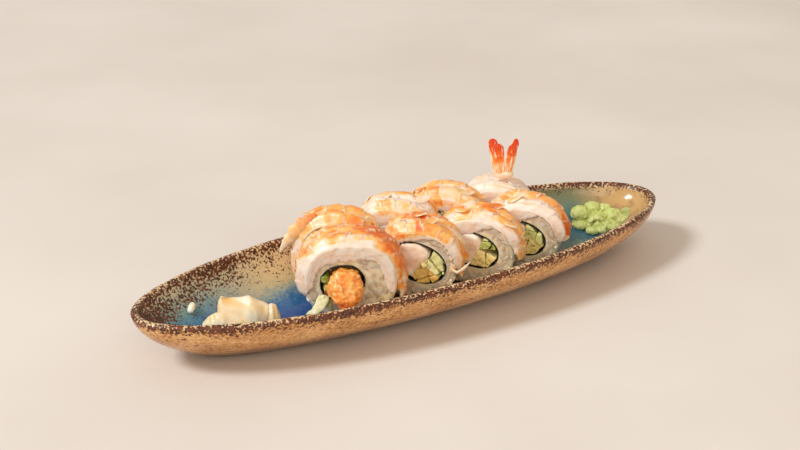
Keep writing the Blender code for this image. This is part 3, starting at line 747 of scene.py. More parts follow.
def lay_fillet(roll, number, tips, front, rear, depth, white, flare, strong):
    """One fillet: a ball drawn out over the rice from its right tip down to its left."""
    fillet, down, around = new_ball(f"{roll.name}_fillet_{number}", FILLET_ROUND, FILLET_LONG)
    upper = around > -1e-6
    share = (1 - np.cos(around)) / 2
    ends = np.clip(np.minimum(down, 1 - down) / 0.09, 0, 1)
    taper = np.sqrt(1 - (1 - ends) ** 2)
    turn = np.radians(tips[0] + (tips[1] - tips[0]) * down)
    seed = number + 10 * sum(map(ord, roll.name)) % 97
    # The margins sway and are ragged, and draw in toward both tips.
    sway = np.array([noise.noise(Vector((d * 5, seed, 0.5))) for d in down]) * SWAY
    front, rear = from_tips(front, down) * MM, from_tips(rear, down) * MM
    half = (rear - front) / 2 * (0.35 + 0.65 * taper)
    ragged = ripple(down * 26, seed, 3.5 + np.round(share), rough=0.8) * RAGGED
    across = (front + rear) / 2 + sway + (share - 0.5) * 2 * (half + ragged)
    across = np.clip(across, None, roll.thick + 1.6 * MM)
    # The flesh is full in the middle and thin where it bends over the cut face.
    body = (4 * share * (1 - share)) ** np.where(share < 0.5, 0.55, 0.32)
    near_front = np.clip(1 - across / (3 * MM), 0, 1)
    thickness = depth * MM * body * (0.3 + 0.7 * taper) * (1 - 0.8 * near_front)
    # Each plate rises toward its free edge, over the start of the next.
    radius = roll.radius(roll.rice, turn, np.clip(across, 0, roll.thick))
    along = np.radians(tips[1] - tips[0]) * down * radius.mean()
    step, plate = plates(along, across, seed)
    tile = np.array([noise.noise(Vector((p * 3.3, seed, 1.5))) for p in plate])
    rise = (1.1 * (1 - step) ** 1.3 - 0.45 + 0.5 * tile) * MM * body * taper
    rise *= min(1, 0.2 + strong)
    fibre = ripple(along / (9 * MM), across / (1.6 * MM), seed + 0.3) * FIBRE_DEPTH * body
    # The underside lies close on the rice and comes off it toward the tips.
    bottom = np.full(len(down), UNDER_GAP)
    bottom += np.clip(roll.thick - across, -2 * MM, 0) * 0.6
    beyond_r = np.clip((math.radians(25) - turn) / math.radians(55), 0, 1)
    beyond_l = np.clip((turn - math.radians(160)) / math.radians(52), 0, 1)
    bottom += (flare[0] * beyond_r ** 1.5 + flare[1] * beyond_l ** 1.5) * MM
    height = np.where(upper, bottom + thickness + rise * (1 - 0.7 * near_front) + fibre, bottom)
    put_points(fillet, over_the_edge(roll, turn, across, height))
    mend(fillet)
    smooth(fillet)
    blotch = ripple(along / (11 * MM), across / (5 * MM), seed + 7.7)
    front_edge = np.clip((share - from_tips(white[0], down) + 0.12 * blotch) / 0.14 + 0.5, 0, 1)
    rear_edge = np.clip((1 - share - from_tips(white[1], down) + 0.12 * blotch) / 0.12 + 0.5, 0, 1)
    strength = front_edge * rear_edge * (0.7 - 0.25 * step + 0.3 * blotch + 0.7 * tile) * strong
    mark(fillet, "orange", np.where(upper, np.clip(strength, 0, 1), 0))
    cream = np.clip(1.3 - step / 0.13, 0, 1) * front_edge * np.clip(0.8 + blotch, 0, 1)
    mark(fillet, "cream", np.where(upper, cream, 0))
    # Painted shadow: shade marks the foot of each plate, under the raised edge of the next.
    mark(fillet, "shade", np.where(upper, np.clip((step - 0.93) / 0.07, 0, 1) * front_edge, 0))
    mark(fillet, "along", along)
    mark(fillet, "across", across)
    mark(fillet, "seed", seed)
    return fillet


# Loose plates: the thin edges of the plates lift and tear in cooking. Each is a blunt leaf of
# flesh with a pale rim, its root held in the fillet below it.
def flake_template():
    """A leaf along Z, one unit long, wide and thick, thin at its rim and curled up at its tip."""
    points, faces = ball_template(14, 13)
    reach = points[:, 2] + 0.5
    rim = np.clip((np.maximum(np.hypot(points[:, 0], points[:, 2]) * 2, reach) - 0.72) / 0.28, 0, 1)
    points[:, 0] *= 1.15 - 0.4 * reach ** 2
    points[:, 1] += 0.3 * reach ** 3 - 0.9 * (2 * points[:, 0]) ** 2
    return points, faces, rim * (reach > 0.35)


def lay_flakes(roll, fillets, draw, count):
    """Flakes on what shows of a roll's fillets, where a ray from outside first meets them."""
    skins = [BVHTree.FromPolygons([p.co for p in f.data.vertices],
                                  [face.vertices for face in f.data.polygons]) for f in fillets]
    places, tones = [], []
    while len(places) < count:
        turn = math.radians(draw.uniform(-5, 180))
        # The front of the end piece is bare white flesh, which has no plates.
        w = draw.uniform(14 * MM if roll.name == "front_1" else 2 * MM, roll.thick - 3 * MM)
        way, round_way = roll.ways(turn)
        hits = [(skin.ray_cast(roll.at(0, 0, w) + way * FAR, -way), f)
                for skin, f in zip(skins, fillets)]
        hits = [(hit, f) for hit, f in hits if hit[0] is not None]
        tilt = draw.choice((0, math.pi)) + draw.uniform(-0.8, 0.8)
        size = [draw.uniform(*span) * MM for span in FLAKE_SIZE]
        if not hits:
            continue
        (spot, out, face, _), fillet = min(hits, key=lambda hit: hit[0][3])
        corner = fillet.data.polygons[face].vertices[0]
        tones.append(fillet.data.attributes["orange"].data[corner].value)
        along = round_way * math.cos(tilt) + roll.normal * math.sin(tilt)
        along = (along - out * along.dot(out)).normalized()
        places.append((spot + along * size[2] * 0.3, along, out, size))
    return join_copies(roll.name + "_flakes", flake[:2], places), tones


shrimp = Finish("cooked_shrimp", 0.42, soft=(0.3, 0.003, (1.0, 0.5, 0.3)), coat=(0.12, 0.25))
lay_of = shrimp.node("CombineXYZ", {0: shrimp.attribute("along"), 1: shrimp.attribute("across"),
                                    2: shrimp.attribute("seed")})
lay_of = shrimp.node("Mapping", {"Vector": lay_of, "Scale": (1 / (13 * MM), 1 / (1.3 * MM), 1)})
streak = shrimp.node("TexNoise", {"Vector": lay_of, "Scale": 1.0, "Detail": 3.0}, "Fac")
uneven = shrimp.less(shrimp.sum(shrimp.mottle(2.6 * MM, 4), streak), 1.0)
strength = shrimp.sum(shrimp.attribute("orange"), shrimp.times(uneven, 0.55))
flesh = shrimp.ramp(shrimp.mottle(6 * MM, 3), (0.35, tone(246, 216, 196)),
                    (0.65, tone(252, 234, 222)))
flesh = shrimp.mix(shrimp.times(shrimp.step(streak, 0.53, 0.66), 0.75), flesh,
                   tone(250, 184, 138))
blush = shrimp.ramp(strength, (0.05, 0.0), (0.45, 1.0))
deep = shrimp.ramp(strength, (0.15, tone(255, 220, 168)), (0.45, tone(255, 190, 106)),
                   (0.75, tone(250, 154, 66)), (1.0, tone(226, 106, 28)))
skin = shrimp.mix(blush, flesh, deep)
skin = shrimp.mix(shrimp.attribute("cream"), skin, tone(255, 236, 206))
# Painted shadow: a deep orange-red line along the foot of each plate.
skin = shrimp.mix(shrimp.times(shrimp.attribute("shade"), 0.6), skin, tone(206, 92, 26))
shrimp.colour(skin)
shrimp.relief(shrimp.sum(streak, shrimp.mottle(1.4 * MM, 3)), 0.12 * MM)

flake = flake_template()
# Width, thickness and length of a loose plate in millimetres, the least and the most.
FLAKE_SIZE = ((5, 8.5), (0.9, 1.3), (7, 12))
FLAKE_COUNT = {"front_1": 5, "front_2": 7, "front_3": 7, "front_4": 5,
               "back_1": 9, "back_2": 9, "back_3": 9, "back_4": 5}
# Loose tips: narrow ends of a fillet that come off the rice. Each has its path as u, v and w with
# the half width there, in millimetres, and the orange at its root.
TIPS = {
    "back_1": (((-9, 22, 5, 4.0), (-17, 18.5, 4, 5.0), (-24, 13, 3, 4.4), (-29.5, 6.5, 2, 2.5),
                (-33, 0.5, 1, 0.6)), 1.0),
    "front_2": (((18, 3, 1, 1.4), (20, -2.5, 0.3, 1.2), (23, -4, 0, 1.1), (27, -1, -0.5, 0.8),
                 (31, 4, -1, 0.3)), 0.45),
    "front_4": (((17.5, 6, 12, 3.0), (19.5, 1, 11, 2.4), (20.5, -3, 10.5, 1.6),
                 (21, -6.5, 10.5, 0.5)), 0.8),
}


def loose_tip(roll, path, orange):
    """The narrow end of a fillet, on its own path off the rice."""
    tip, down, around = new_ball(roll.name + "_tip", 20, 40)
    share = 1 - down
    steps = np.linspace(0, 1, len(path))
    middle = np.stack([np.interp(share, steps, row) for row in np.array(path).T[:3]], axis=1)
    half = np.interp(share, steps, np.array(path).T[3])
    half *= np.sqrt(np.clip(1 - (2 * share - 1) ** 8, 0, 1)) * (1 + 0.35 * waver(middle, 4, 3))
    way = np.gradient(np.array(path)[:, :2], axis=0)
    way /= np.linalg.norm(way, axis=1)[:, None]
    side = np.stack([np.interp(share, steps, row) for row in (-way[:, 1], way[:, 0])])
    u, v, w = middle.T + np.vstack((side * half * np.cos(around), 0.45 * half * np.sin(around)))
    put_points(tip, roll.lay(u * MM, v * MM, w * MM))
    mend(tip)
    mark(tip, "orange", np.clip(orange * (1 - share), 0, 1))
    mark(tip, "cream", 0.5 * share)
    mark(tip, "along", share * 20 * MM)
    mark(tip, "across", np.cos(around) * 3 * MM)
    smooth(tip)
    return tip


for roll in rolls.values():
    fillets = [lay_fillet(roll, number, **facts)
               for number, facts in enumerate(FILLETS[roll.name])]
    draw = random.Random(roll.name)
    flakes, tones = lay_flakes(roll, fillets, draw, FLAKE_COUNT[roll.name])
    smooth(flakes)
    rim = np.tile(flake[2], len(tones))
    shift = [value * draw.uniform(0.6, 1.3) + draw.uniform(-0.05, 0.1) for value in tones]
    mark(flakes, "orange", np.clip(np.repeat(shift, len(flake[2])), 0, 1) * (1 - 0.5 * rim))
    mark(flakes, "cream", 0.85 * rim)
    mark(flakes, "seed", np.repeat([draw.uniform(0, 50) for _ in tones], len(flake[2])))
    extra = [loose_tip(roll, *TIPS[roll.name])] if roll.name in TIPS else []
    select_only(fillets[-1], flakes, *extra)
    bpy.ops.object.join()
    for fillet in fillets:
        hand_in(fillet, shrimp, "topping", roll.name + "_topping")

# Fillings: cooked shrimp flesh on one side of the ring, and cut sticks of avocado and cucumber
# on the other. They were laid along the roll before it was cut, so their ends show in both faces.
STICK_WIDTH = 5.6 * MM


def copy_of(node, name):
    """A copy of a solid of the frame, its loose triangles joined up."""
    thing = named(new_object(name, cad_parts[node].data.copy()), name)
    edit_all(thing, bpy.ops.mesh.remove_doubles, threshold=0.005 * MM)
    return thing


def change(thing, kind, **settings):
    """Adds a modifier with its settings and applies it."""
    select_only(thing)
    modifier = thing.modifiers.new(kind.lower(), kind)
    for key, value in settings.items():
        setattr(modifier, key, value)
    bpy.ops.object.modifier_apply(modifier=modifier.name)


def rework(thing, voxel, rounds):
    """Gives a solid one even close mesh, its edges rounded over."""
    change(thing, "REMESH", mode="VOXEL", voxel_size=voxel)
    change(thing, "SMOOTH", factor=0.5, iterations=rounds)


def push(thing, amount):
    """Moves points out along their normals by one amount, or each by its own."""
    out = points_of(thing, "normal") * np.reshape(amount, (-1, 1))
    put_points(thing, points_of(thing) + out)


def mark_hollows(thing, rounds, depth):
    """Keeps how far each point lies in a hollow: 0 on a crest, 0.5 on the flat, 1 deep down."""
    even = new_object("even", thing.data.copy())
    change(even, "SMOOTH", factor=0.5, iterations=rounds)
    sunk = ((points_of(even) - points_of(thing)) * points_of(thing, "normal")).sum(axis=1)
    bpy.data.objects.remove(even)
    mark(thing, "hollow", np.clip(0.5 + sunk / depth, 0, 1))


def cut_by(thing, place, way):
    """Cuts a closed solid by a plane and keeps what lies behind it, closed."""
    edit_all(thing, bpy.ops.mesh.bisect, plane_co=place, plane_no=way, use_fill=True,
             clear_outer=True)


def join_all(things, name):
    select_only(*things)
    bpy.ops.object.join()
    return named(things[0], name)


def sticks(roll, node, name, draw):
    """A solid cut along the roll into uneven sticks, each with its own tint and end."""
    solid = copy_of(node, name)
    push(solid, 1.0 * MM)
    points = points_of(solid)
    ways = roll.ways(draw.uniform(0.2, 1.3))
    # Lines two ways across the solid, uneven in place and lean. The sticks lie between them.
    strips = []
    for way in ways:
        reach = points @ np.array(way)
        count = max(1, round((reach.max() - reach.min()) / STICK_WIDTH))
        lines = np.linspace(reach.min(), reach.max(), count + 1)
        lines[1:-1] += [draw.uniform(-1.4, 1.4) * MM for _ in lines[1:-1]]
        strips.append([(line, draw.uniform(-0.5, 0.5)) for line in lines])
    cells = []
    for i in range(len(strips[0]) - 1):
        for j in range(len(strips[1]) - 1):
            cell = new_object(name + "_stick", solid.data.copy())
            for way, cross, strip, k in ((*ways, strips[0], i), (ways[1], ways[0], strips[1], j)):
                gap = draw.choice((0, 0, 0.2, 0.4)) * MM
                pivot = roll.start - roll.normal * roll.thick / 2
                for (line, lean), sign in ((strip[k + 1], 1), (strip[k], -1)):
                    if len(cell.data.vertices):
                        place = pivot + way * (line - sign * gap - pivot.dot(way))
                        cut_by(cell, place, (way + cross * lean) * sign)
            # Its two ends are drawn in, or stand out a little. A mere sliver is left out.
            ends = points_of(cell)
            shift = draw.uniform(-1.2, 1.0) * MM
            tint = draw.random()
            if len(ends) < 4 or min(np.ptp(ends @ np.array(way)) for way in ways) < 1 * MM:
                bpy.data.objects.remove(cell)
                continue
            near = roll.behind(ends) < roll.thick / 2
            ends += np.outer(np.where(near, shift, -shift), roll.normal)
            put_points(cell, ends)
            rework(cell, 0.5 * MM, 3)
            push(cell, 0.5 * MM * waver(points_of(cell), 2.6 * MM, len(cells)))
            mark(cell, "tint", tint)
            cells.append(cell)
    bpy.data.objects.remove(solid)
    joined = join_all(cells, name)
    smooth(joined, 60)
    return joined


flesh_finish = Finish("shrimp_flesh", 0.32, soft=(0.35, 0.003, (1.0, 0.6, 0.45)), coat=(0.2, 0.15))
flesh_finish.colour(flesh_finish.ramp(flesh_finish.mottle(7 * MM, 3), (0.3, tone(236, 198, 162)),
                                      (0.48, tone(248, 224, 200)), (0.7, tone(254, 242, 228))))
flesh_finish.relief(flesh_finish.mottle(1.6 * MM, 3), 0.08 * MM)
avocado = Finish("avocado_flesh", 0.4, soft=(0.2, 0.002, (0.8, 1.0, 0.3)))
avocado_tone = avocado.ramp(avocado.attribute("tint"), (0.0, tone(228, 196, 108)),
                            (0.4, tone(248, 226, 156)), (0.7, tone(238, 222, 144)),
                            (1.0, tone(244, 190, 98)))
avocado.colour(avocado.mix(avocado.step(avocado.mottle(3 * MM, 3), 0.48, 0.8), avocado_tone,
                           tone(178, 160, 66)))
avocado.relief(avocado.mottle(1.5 * MM, 3), 0.15 * MM)
cucumber = Finish("cucumber_flesh", 0.22, soft=(0.25, 0.002, (0.6, 1.0, 0.4)))
cucumber_tone = cucumber.ramp(cucumber.attribute("tint"), (0.0, tone(128, 148, 46)),
                              (0.3, tone(204, 208, 122)), (1.0, tone(244, 238, 184)))
cucumber.colour(cucumber.mix(cucumber.step(cucumber.mottle(2.5 * MM, 3), 0.5, 0.85),
                             cucumber_tone, tone(96, 112, 30)))
cucumber.relief(cucumber.mottle(1.2 * MM, 3), 0.15 * MM)

for number, roll in enumerate(rolls.values()):
    if roll.name == "front_1":
        continue
    flesh_piece = copy_of(roll.name + "_shrimp", roll.name + "_shrimp_flesh")
    rework(flesh_piece, 0.6 * MM, 24)
    # What sticks out far to the sides is drawn in, so that the flesh is one plain lump.
    points = points_of(flesh_piece)
    flat = points - np.outer((points - points.mean(axis=0)) @ roll.normal, roll.normal)
    reach = np.linalg.norm(flat - flat.mean(axis=0), axis=1)
    far = np.clip(reach / np.median(reach) - 1, 0, 1)
    put_points(flesh_piece, points - (flat - flat.mean(axis=0)) * (0.5 * far)[:, None])
    push(flesh_piece, 0.5 * MM * waver(points, 5 * MM, number) + 1.0 * MM)
    smooth(flesh_piece)
    hand_in(flesh_piece, flesh_finish, "flesh", roll.name + "_shrimp")
    draw = random.Random(50 + number)
    for plant, finish in (("avocado", avocado), ("cucumber", cucumber)):
        cut = sticks(roll, f"{roll.name}_{plant}", f"{roll.name}_{plant}_sticks", draw)
        hand_in(cut, finish, plant, f"{roll.name}_{plant}")

# Fried shrimp: battered and deep fried, rolled into the end piece so that it comes out of the
# cut face and droops. The crust is craggy and golden, darker and redder toward its foot, and its
# hollows are darkened as painted shade.
batter = Finish("fried_batter", 0.4, soft=(0.15, 0.002, (1.0, 0.4, 0.15)), coat=(0.4, 0.2))
low_down = batter.node("SeparateXYZ", {0: batter.place}, "Z")
low_down = batter.times(batter.less(1.0, batter.step(low_down, 8 * MM, 32 * MM)), 0.34)
# Painted shade: the crust is darkened in its hollows; the mottle is its own uneven browning, and
# the foot is darker and redder.
browning = batter.sum(batter.times(batter.attribute("hollow"), 0.8),
                      batter.sum(batter.times(batter.mottle(6 * MM, 4), 0.5), low_down))
batter.colour(batter.ramp(browning, (0.4, tone(255, 216, 150)), (0.58, tone(252, 178, 86)),
                          (0.74, tone(238, 126, 42)), (0.95, tone(170, 58, 14))))
batter.relief(batter.mottle(1.6 * MM, 3), 0.2 * MM)
fried = copy_of("front_1_fried_shrimp", "battered_shrimp")
rework(fried, 0.45 * MM, 6)
points = points_of(fried)
crags = (0.5 * waver(points, 4.2 * MM, 3, 2) + 1.0 * np.abs(waver(points, 6 * MM, 8, 3))
         + 0.3 * waver(points, 1.6 * MM, 5, 2))
push(fried, (crags - 0.2) * MM)
mark_hollows(fried, 25, 1.8 * MM)
# It is drawn in toward its foot and full at its root, and set to the left.
points = points_of(fried)
middle = points.mean(axis=0)
right = np.array(rolls["front_1"].right)
rise = (points[:, 2] - points[:, 2].min()) / np.ptp(points[:, 2])
taper = np.interp(rise, (0, 0.5, 0.8, 1), (0.4, -0.06, -0.12, -0.5))
points -= np.outer(taper * ((points - middle) @ right), right)
points[:, 2] += 1.2 * MM * np.clip(points[:, 2] / (20 * MM), 0, 1)
put_points(fried, points - right * 1.5 * MM)
smooth(fried)
hand_in(fried, batter, "batter", "front_1_fried_shrimp")

# Trimmings beside the fried shrimp: a stick of cucumber with its skin on, one of avocado, and a
# pale strip of lettuce that hangs out of the ring down to the dish.
for node, name, finish, left in (("front_1_cucumber", "cucumber_stick", cucumber, 2.4 * MM),
                                 ("front_1_avocado", "avocado_stick", avocado, 1.6 * MM)):
    stick = copy_of(node, name)
    rework(stick, 0.4 * MM, 4)
    points = points_of(stick)
    push(stick, 0.3 * MM * waver(points, 3 * MM, 5) + 0.5 * MM)
    put_points(stick, points_of(stick) - np.array(rolls["front_1"].right) * left)
    mark(stick, "tint", np.clip(0.15 + 0.5 * waver(points, 3 * MM, 9), 0, 1))
    smooth(stick)
    hand_in(stick, finish, node.split("_")[-1], node)

leaf = Finish("pale_lettuce", 0.3, soft=(0.4, 0.003, (0.7, 1.0, 0.4)))
leaf.colour(leaf.ramp(leaf.mottle(4 * MM, 4), (0.3, tone(206, 208, 130)),
                      (0.5, tone(234, 232, 190)), (0.7, tone(246, 242, 218))))
leaf.relief(leaf.mottle(1.5 * MM, 3), 0.15 * MM)
lettuce = copy_of("front_1_lettuce", "lettuce_strip")
rework(lettuce, 0.4 * MM, 2)
points = points_of(lettuce)
push(lettuce, 0.4 * MM * waver(points, 3 * MM, 2))
smooth(lettuce)
hand_in(lettuce, leaf, "lettuce", "front_1_lettuce")

# Shreds: thin scraps of the trimmings and crumbs of batter, caught under the fried shrimp.
end_roll = rolls["front_1"]
draw = random.Random(12)
for name, finish, slot, node, spread, size, count in (
        ("cucumber_shreds", cucumber, "cucumber", "front_1_cucumber", (-12, -8.5, -14, -6),
         (0.35, 0.5, 1.1), 9),
        ("batter_crumbs", batter, "batter", "front_1_fried_shrimp", (-12, -8, -8, -3),
         (0.45, 0.45, 0.35), 8)):
    places = []
    for _ in range(count):
        spot = end_roll.at(draw.uniform(*spread[:2]) * MM, draw.uniform(*spread[2:]) * MM,
                           draw.uniform(-3, -0.5) * MM)
        way = Vector((draw.uniform(-0.6, 0.6), draw.uniform(-0.3, 0.3), 1)).normalized()
        places.append((spot, way, end_roll.normal, size))
    scraps = join_copies(name, grain, places)
    mark(scraps, "tint", 0.5)
    # A hollow value of 0.9 gives the crumbs the dark red-brown that the crust has deep in its
    # hollows.
    mark(scraps, "hollow", 0.9)
    smooth(scraps)
    hand_in(scraps, finish, slot, node)

# Tail: the shrimp's own tail fan, left on when it was shelled. Four blades stand up in a V from
# a pale stem. They are red at the tips and orange below, with clear white edges.
tail_low, tail_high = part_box("back_4_tail")
TAIL_HEADING = math.radians(235)
tail_normal = Vector((math.cos(TAIL_HEADING), math.sin(TAIL_HEADING), 0))
tail_right = Vector((0, 0, 1)).cross(tail_normal)
tail_foot = np.array(((tail_low.x + tail_high.x) / 2, (tail_low.y + tail_high.y) / 2, tail_low.z))
# Each blade: its foot and tip, across and above the tail's lowest point, its half width, its
# place toward the viewer and how far its tip leans back, in millimetres.
BLADES = ((-4.6, 1.5, -7.6, 25.4, 2.7, 0.6, -1.0), (-1.9, 1.0, -4.2, 22.8, 2.9, 1.2, 0.2),
          (2.0, 2.0, 4.6, 22.2, 2.0, 1.0, 0.2), (3.4, 1.0, 7.0, 25.6, 2.1, 0.4, -0.6))


def rounded(share, part):
    """1 along a piece, and down to 0 in a round over a part of its length at each end."""
    return np.sqrt(np.clip(1 - ((np.abs(share - 0.5) - 0.5 + part) / part).clip(0) ** 2, 0, 1))


def turned(points, right, away):
    """Points given as across, away and up, turned to how a piece stands."""
    return (np.outer(points[:, 0], right) + np.outer(points[:, 1], away)
            + np.outer(points[:, 2], (0, 0, 1)))


def blade(number, foot_u, foot_v, tip_u, tip_v, half, forward, lean):
    """One blade of the fan, ribbed on both faces and ragged along its edges."""
    made, down, around = new_ball(f"blade_{number}", 32, 56)
    share, side = 1 - down, np.cos(around)
    ends = rounded(share, 0.12)
    width = half * (0.75 + 0.35 * np.sin(math.pi * share ** 1.2 * 0.78)) * ends
    rag = ripple(share * 9, number, 2.5 * (side > 0)) * 0.35
    middle = foot_u + (tip_u - foot_u) * share ** 1.3
    u = middle + (width + rag * ends) * side
    v = foot_v + (tip_v - foot_v) * share
    rib = 0.22 * np.cos(side * 9) + 0.35 * (1 - side ** 2)
    thick = (0.45 + rib * np.sign(np.sin(around)) * (np.abs(np.sin(around)) > 0.2)) * ends
    depth = forward + lean * share ** 2 + thick * np.sin(around) + 0.5 * side ** 2
    spread = np.stack((u, depth, v), axis=1) * MM
    put_points(made, tail_foot + turned(spread, tail_right, tail_normal))
    mend(made)
    mark(made, "rise", share)
    mark(made, "rim", np.abs(side))
    mark(made, "across", side * half * MM + number)
    return made


shell = Finish("tail_shell", 0.4, soft=(0.05, 0.002, (1.0, 0.35, 0.15)), coat=(0.1, 0.2))
rib_place = shell.node("CombineXYZ", {0: shell.attribute("across"), 1: shell.attribute("rise")})
rib_place = shell.node("Mapping", {"Vector": rib_place, "Scale": (1 / (0.8 * MM), 3.5, 1)})
ribs = shell.node("TexNoise", {"Vector": rib_place, "Scale": 1.0, "Detail": 3.0}, "Fac")
rise = shell.attribute("rise")
heat = shell.sum(rise, shell.times(shell.less(shell.mottle(4 * MM, 3), 0.5), 0.7))
shell_tone = shell.ramp(heat, (0.1, tone(252, 184, 104)), (0.4, tone(252, 152, 56)),
                        (0.7, tone(240, 98, 18)), (0.98, tone(218, 56, 2)))
clear = shell.sum(shell.sum(ribs, shell.times(shell.attribute("rim"), 0.16)),
                  shell.times(rise, -0.24))
shell.colour(shell.mix(shell.step(clear, 0.46, 0.56), shell_tone, tone(255, 230, 200)))
shell.relief(ribs, 0.2 * MM)
stem = new_ball("tail_stem", 28, 18)[0]
points = turned(points_of(stem) * (6.2 * MM, 2.4 * MM, 3.0 * MM), tail_right, tail_normal)
points += tail_foot + (0, 0, 2 * MM)
put_points(stem, points)
push(stem, 0.4 * MM * waver(points, 3 * MM, 4))
mark(stem, "rise", 0)
mark(stem, "rim", 1.6)
mark(stem, "across", points[:, 0])
blades = [blade(number, *facts) for number, facts in enumerate(BLADES)]
tail = join_all([stem, *blades], "tail_fan")
smooth(tail)
hand_in(tail, shell, "shell", "back_4_tail")

# Ginger: thin slices pickled soft and dropped in loose folds, one in front of the largest. They
# are cream and a little clear; where they turn under, and on their undersides, a yellow painted
# shade stands in for the shadow of the folds.
GINGER_TURN = math.radians(-24)
# Each slice: the middle of its ridge, then stations with the place along it, the reach of its
# front and back feet and the ridge's height, and then its hollows under a fold: the place along,
# the share round from the front foot, the depth and the spread of each.
GINGER = {
    "ginger_main": ((-110, 9.5), ((-14.8, 2, 4, 21), (-12, 3.4, 6, 25.4), (-6, 4.6, 7.5, 24),
                                  (0, 6.4, 8, 23.7), (3.6, 8.2, 8, 24.6), (7, 9.2, 8, 22.7),
                                  (11, 8.6, 7, 20.8), (14.5, 6.5, 5, 18.8), (16.6, 4, 3, 13)),
                    ((-8.5, 0.34, 2.6, 0.14, 5), (5.5, 0.3, -0.9, 0.2, 4),
                     (11.5, 0.3, 1.2, 0.14, 2), (-1, 0.25, 0.8, 0.1, 3))),
    "ginger_left": ((-122.5, 7.4), ((-13.2, 1.5, 1.5, 12.5), (-9.4, 4, 2.6, 16.4),
                                    (-5, 5.4, 3.4, 18.9), (-1, 6, 3.8, 18.6), (4, 6, 4, 16),
                                    (9, 5, 4, 13.5), (14, 2, 2, 9)),
                    ((-7, 0.35, 1.4, 0.16, 2), (0, 0.4, 0.9, 0.2, 2.5))),
    "ginger_right": ((-95.2, 2.9), ((-4.6, 5, 4, 15), (-2.6, 7, 5, 18), (0, 8, 5.5, 18.8),
                                    (2.6, 7.5, 5, 17.8), (5, 4.5, 3.5, 12)),
                     ((2.2, 0.3, 2.0, 0.25, 1.4), (-3.6, 0.3, 1.0, 0.2, 1.0))),
}
DISH_CLEARANCE = 0.3 * MM


def ground_under(points):
    """Height at which a piece lies just clear of the dish, for each of its points."""
    return np.array([inside_height(x, y) for x, y in points[:, :2]]) + DISH_CLEARANCE


def fold(name, middle, stations, hollows, seed):
    """A slice with one ridge along it, drawn in where it turns under its own fold."""
    made, share, around = new_ball(name, 72, 70)
    places, fronts, backs, ridges = np.array(stations).T
    ease = (1 - np.cos(math.pi * share)) / 2 * 0.5 + share * 0.5
    x = places[0] + (places[-1] - places[0]) * ease
    ends = rounded(share, 0.08)
    round_by = np.abs(around) / math.pi
    turn = math.pi * round_by
    reach = np.where(round_by < 0.5, np.interp(x, places, fronts), np.interp(x, places, backs))
    wave = ripple(x / 7, round_by * 2.4, seed, 2)
    draw_in = sum(deep * np.exp(-((x - at) / wide) ** 2 - ((round_by - where) / high) ** 2)
                  for at, where, deep, high, wide in hollows)
    reach = (reach + 0.7 * wave) * (0.25 + 0.75 * ends)
    along = np.array((math.cos(GINGER_TURN), math.sin(GINGER_TURN), 0))
    across = np.array((-along[1], along[0], 0))
    plan = np.array((middle[0], middle[1], 0)) * MM + np.outer(x * MM, along)
    plan += np.outer(-np.cos(turn) * reach * MM, across)
    ground = ground_under(plan)
    top = (np.interp(x, places, ridges) + 0.5 * wave) * MM - ground
    rise = np.clip(top, 1 * MM, None) * np.sin(turn) ** 0.55 * (0.3 + 0.7 * ends)
    plan[:, 2] = ground + np.where(around > -1e-6, rise, 0)
    plan += np.outer(draw_in * MM * (around > 0), across)
    put_points(made, plan)
    mend(made)
    change(made, "SMOOTH", factor=0.5, iterations=3)
    # Painted shade: under is 1 on the underside and high in the hollows under a fold.
    under = np.clip(draw_in / 2.6, 0, 1)
    mark(made, "under", np.where(around > 0, under, 1))
    smooth(made)
    return made


pickle = Finish("pickled_ginger", 0.3, soft=(0.4, 0.004, (1.0, 0.7, 0.35)), coat=(0.25, 0.12))
pale = pickle.ramp(pickle.mottle(9 * MM, 3), (0.3, tone(246, 216, 164)),
                   (0.5, tone(252, 232, 196)), (0.75, tone(255, 243, 224)))
# Painted shade: yellow where the slice turns under.
pickle.colour(pickle.mix(pickle.attribute("under"), pale, tone(244, 196, 112)))
pickle.relief(pickle.mottle(2.4 * MM, 3), 0.1 * MM)
for seed, (node, (middle, stations, hollows)) in enumerate(GINGER.items()):
    hand_in(fold(node + "_slice", middle, stations, hollows, seed), pickle, "ginger", node)

# Wasabi: pale green paste, pinched and folded over by hand. Its lobes are pressed into one
# another, with deep creases between them, and its skin is finely grained.
WASABI_AT = (146 * MM, 7 * MM)
wasabi_right = Vector((0.842, -0.539, 0))
wasabi_away = Vector((0.539, 0.842, 0))
# Each lobe: across, away and height of its middle, and its half sizes the same three ways.
LOBES = [(3, 1, 12.5, 14, 9, 5.5), (0, 4, 16, 10, 7, 5), (-11, 4, 18.8, 6.6, 6, 4.8),
         (-10.8, 0.5, 12.4, 5.8, 5, 3.2), (-3.2, 7, 21.8, 5.4, 4.6, 3.4),
         (4.6, 7.5, 20.6, 5, 4.4, 3.2), (9.5, 3, 18, 6.6, 5.4, 4.2), (14.6, 1.6, 15.6, 5.4, 5, 3.8),
         (8.6, -3.6, 12.4, 5.6, 4.4, 3.4), (17.4, 5, 15.8, 3, 3, 2.6),
         (-3.8, -6.4, 11, 4.6, 3, 2.4), (1.6, -6.6, 11.6, 4, 3, 2.6)]
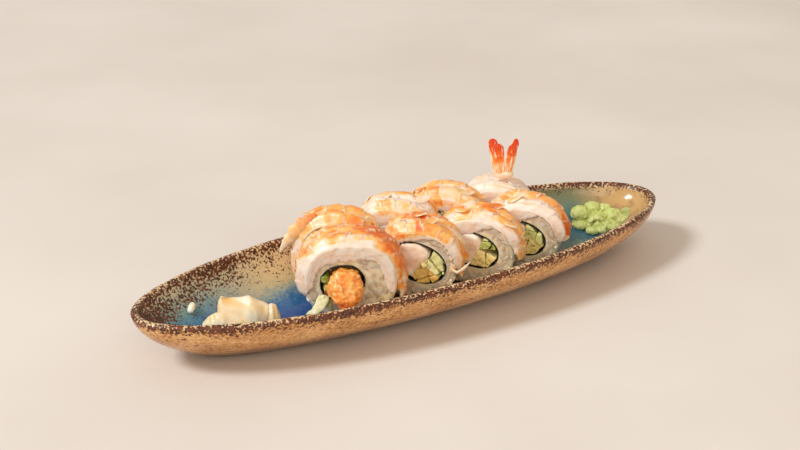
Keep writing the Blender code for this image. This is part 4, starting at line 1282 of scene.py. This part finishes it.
# Two petals curl round the middle of the front, from low on the left over to the right, one
# inside the other. Each has its count of lobes, its first angle and turn in degrees, the middle
# and the reach of its curl as above (the reach away is per lobe), and its lobes' half sizes.
PETALS = ((14, 215, 15, (-1.6, -4.4, 14.6), (4.6, 0.12, 4.2), (1.5, 2.6, 1.5)),
          (8, 250, 22, (-1.0, -5.2, 13.8), (1.9, 0, 1.8), (1.0, 2.2, 1.0)))
for count, first, turn, middle, reach, half in PETALS:
    for i in range(count):
        curl = math.radians(first - turn * i)
        way = (math.cos(curl), i, math.sin(curl))
        LOBES.append((*[m + r * s for m, r, s in zip(middle, reach, way)], *half))
paste = Finish("wasabi_paste", 0.5, soft=(0.3, 0.002, (0.8, 1.0, 0.4)))
# Painted shade: the paste darkens toward deep olive in its creases and hollows; the mottle adds its
# own uneven tone.
shade = paste.sum(paste.attribute("hollow"),
                  paste.times(paste.less(paste.mottle(5 * MM, 4), 0.5), 0.4))
paste.colour(paste.ramp(shade, (0.3, tone(222, 226, 156)), (0.5, tone(196, 206, 118)),
                        (0.7, tone(146, 154, 60)), (0.95, tone(92, 96, 22))))
paste.relief(paste.mottle(0.8 * MM, 3), 0.15 * MM)
balls = []
for across, away_by, height, *half in LOBES:
    ball = new_ball("lobe", 24, 16, MM)[0]
    place = (Vector((*WASABI_AT, height * MM)) + wasabi_right * across * MM
             + wasabi_away * away_by * MM)
    put_points(ball, turned(points_of(ball) * half, wasabi_right, wasabi_away) + np.array(place))
    balls.append(ball)
knob = join_all(balls, "wasabi_knob")
rework(knob, 0.5 * MM, 2)
points = points_of(knob)
crease = 1 - np.clip(np.abs(waver(points, 7.5 * MM, 6, 2)) / 0.12, 0, 1)
push(knob, (0.3 - 0.5 * crease + 0.4 * waver(points, 1.8 * MM, 2, 3)) * MM)
change(knob, "SMOOTH", factor=0.4, iterations=1)
mark_hollows(knob, 30, 2.2 * MM)
points = points_of(knob)
points[:, 2] = np.maximum(points[:, 2], ground_under(points))
put_points(knob, points)
smooth(knob)
hand_in(knob, paste, "wasabi", "wasabi")

# Loose grain: one grain of rice that dropped on the dish's wall.
dropped = copy_of("loose_grain", "dropped_grain")
rework(dropped, 0.3 * MM, 3)
push(dropped, 1.0 * MM)
smooth(dropped)
hand_in(dropped, rice, "rice", "loose_grain")
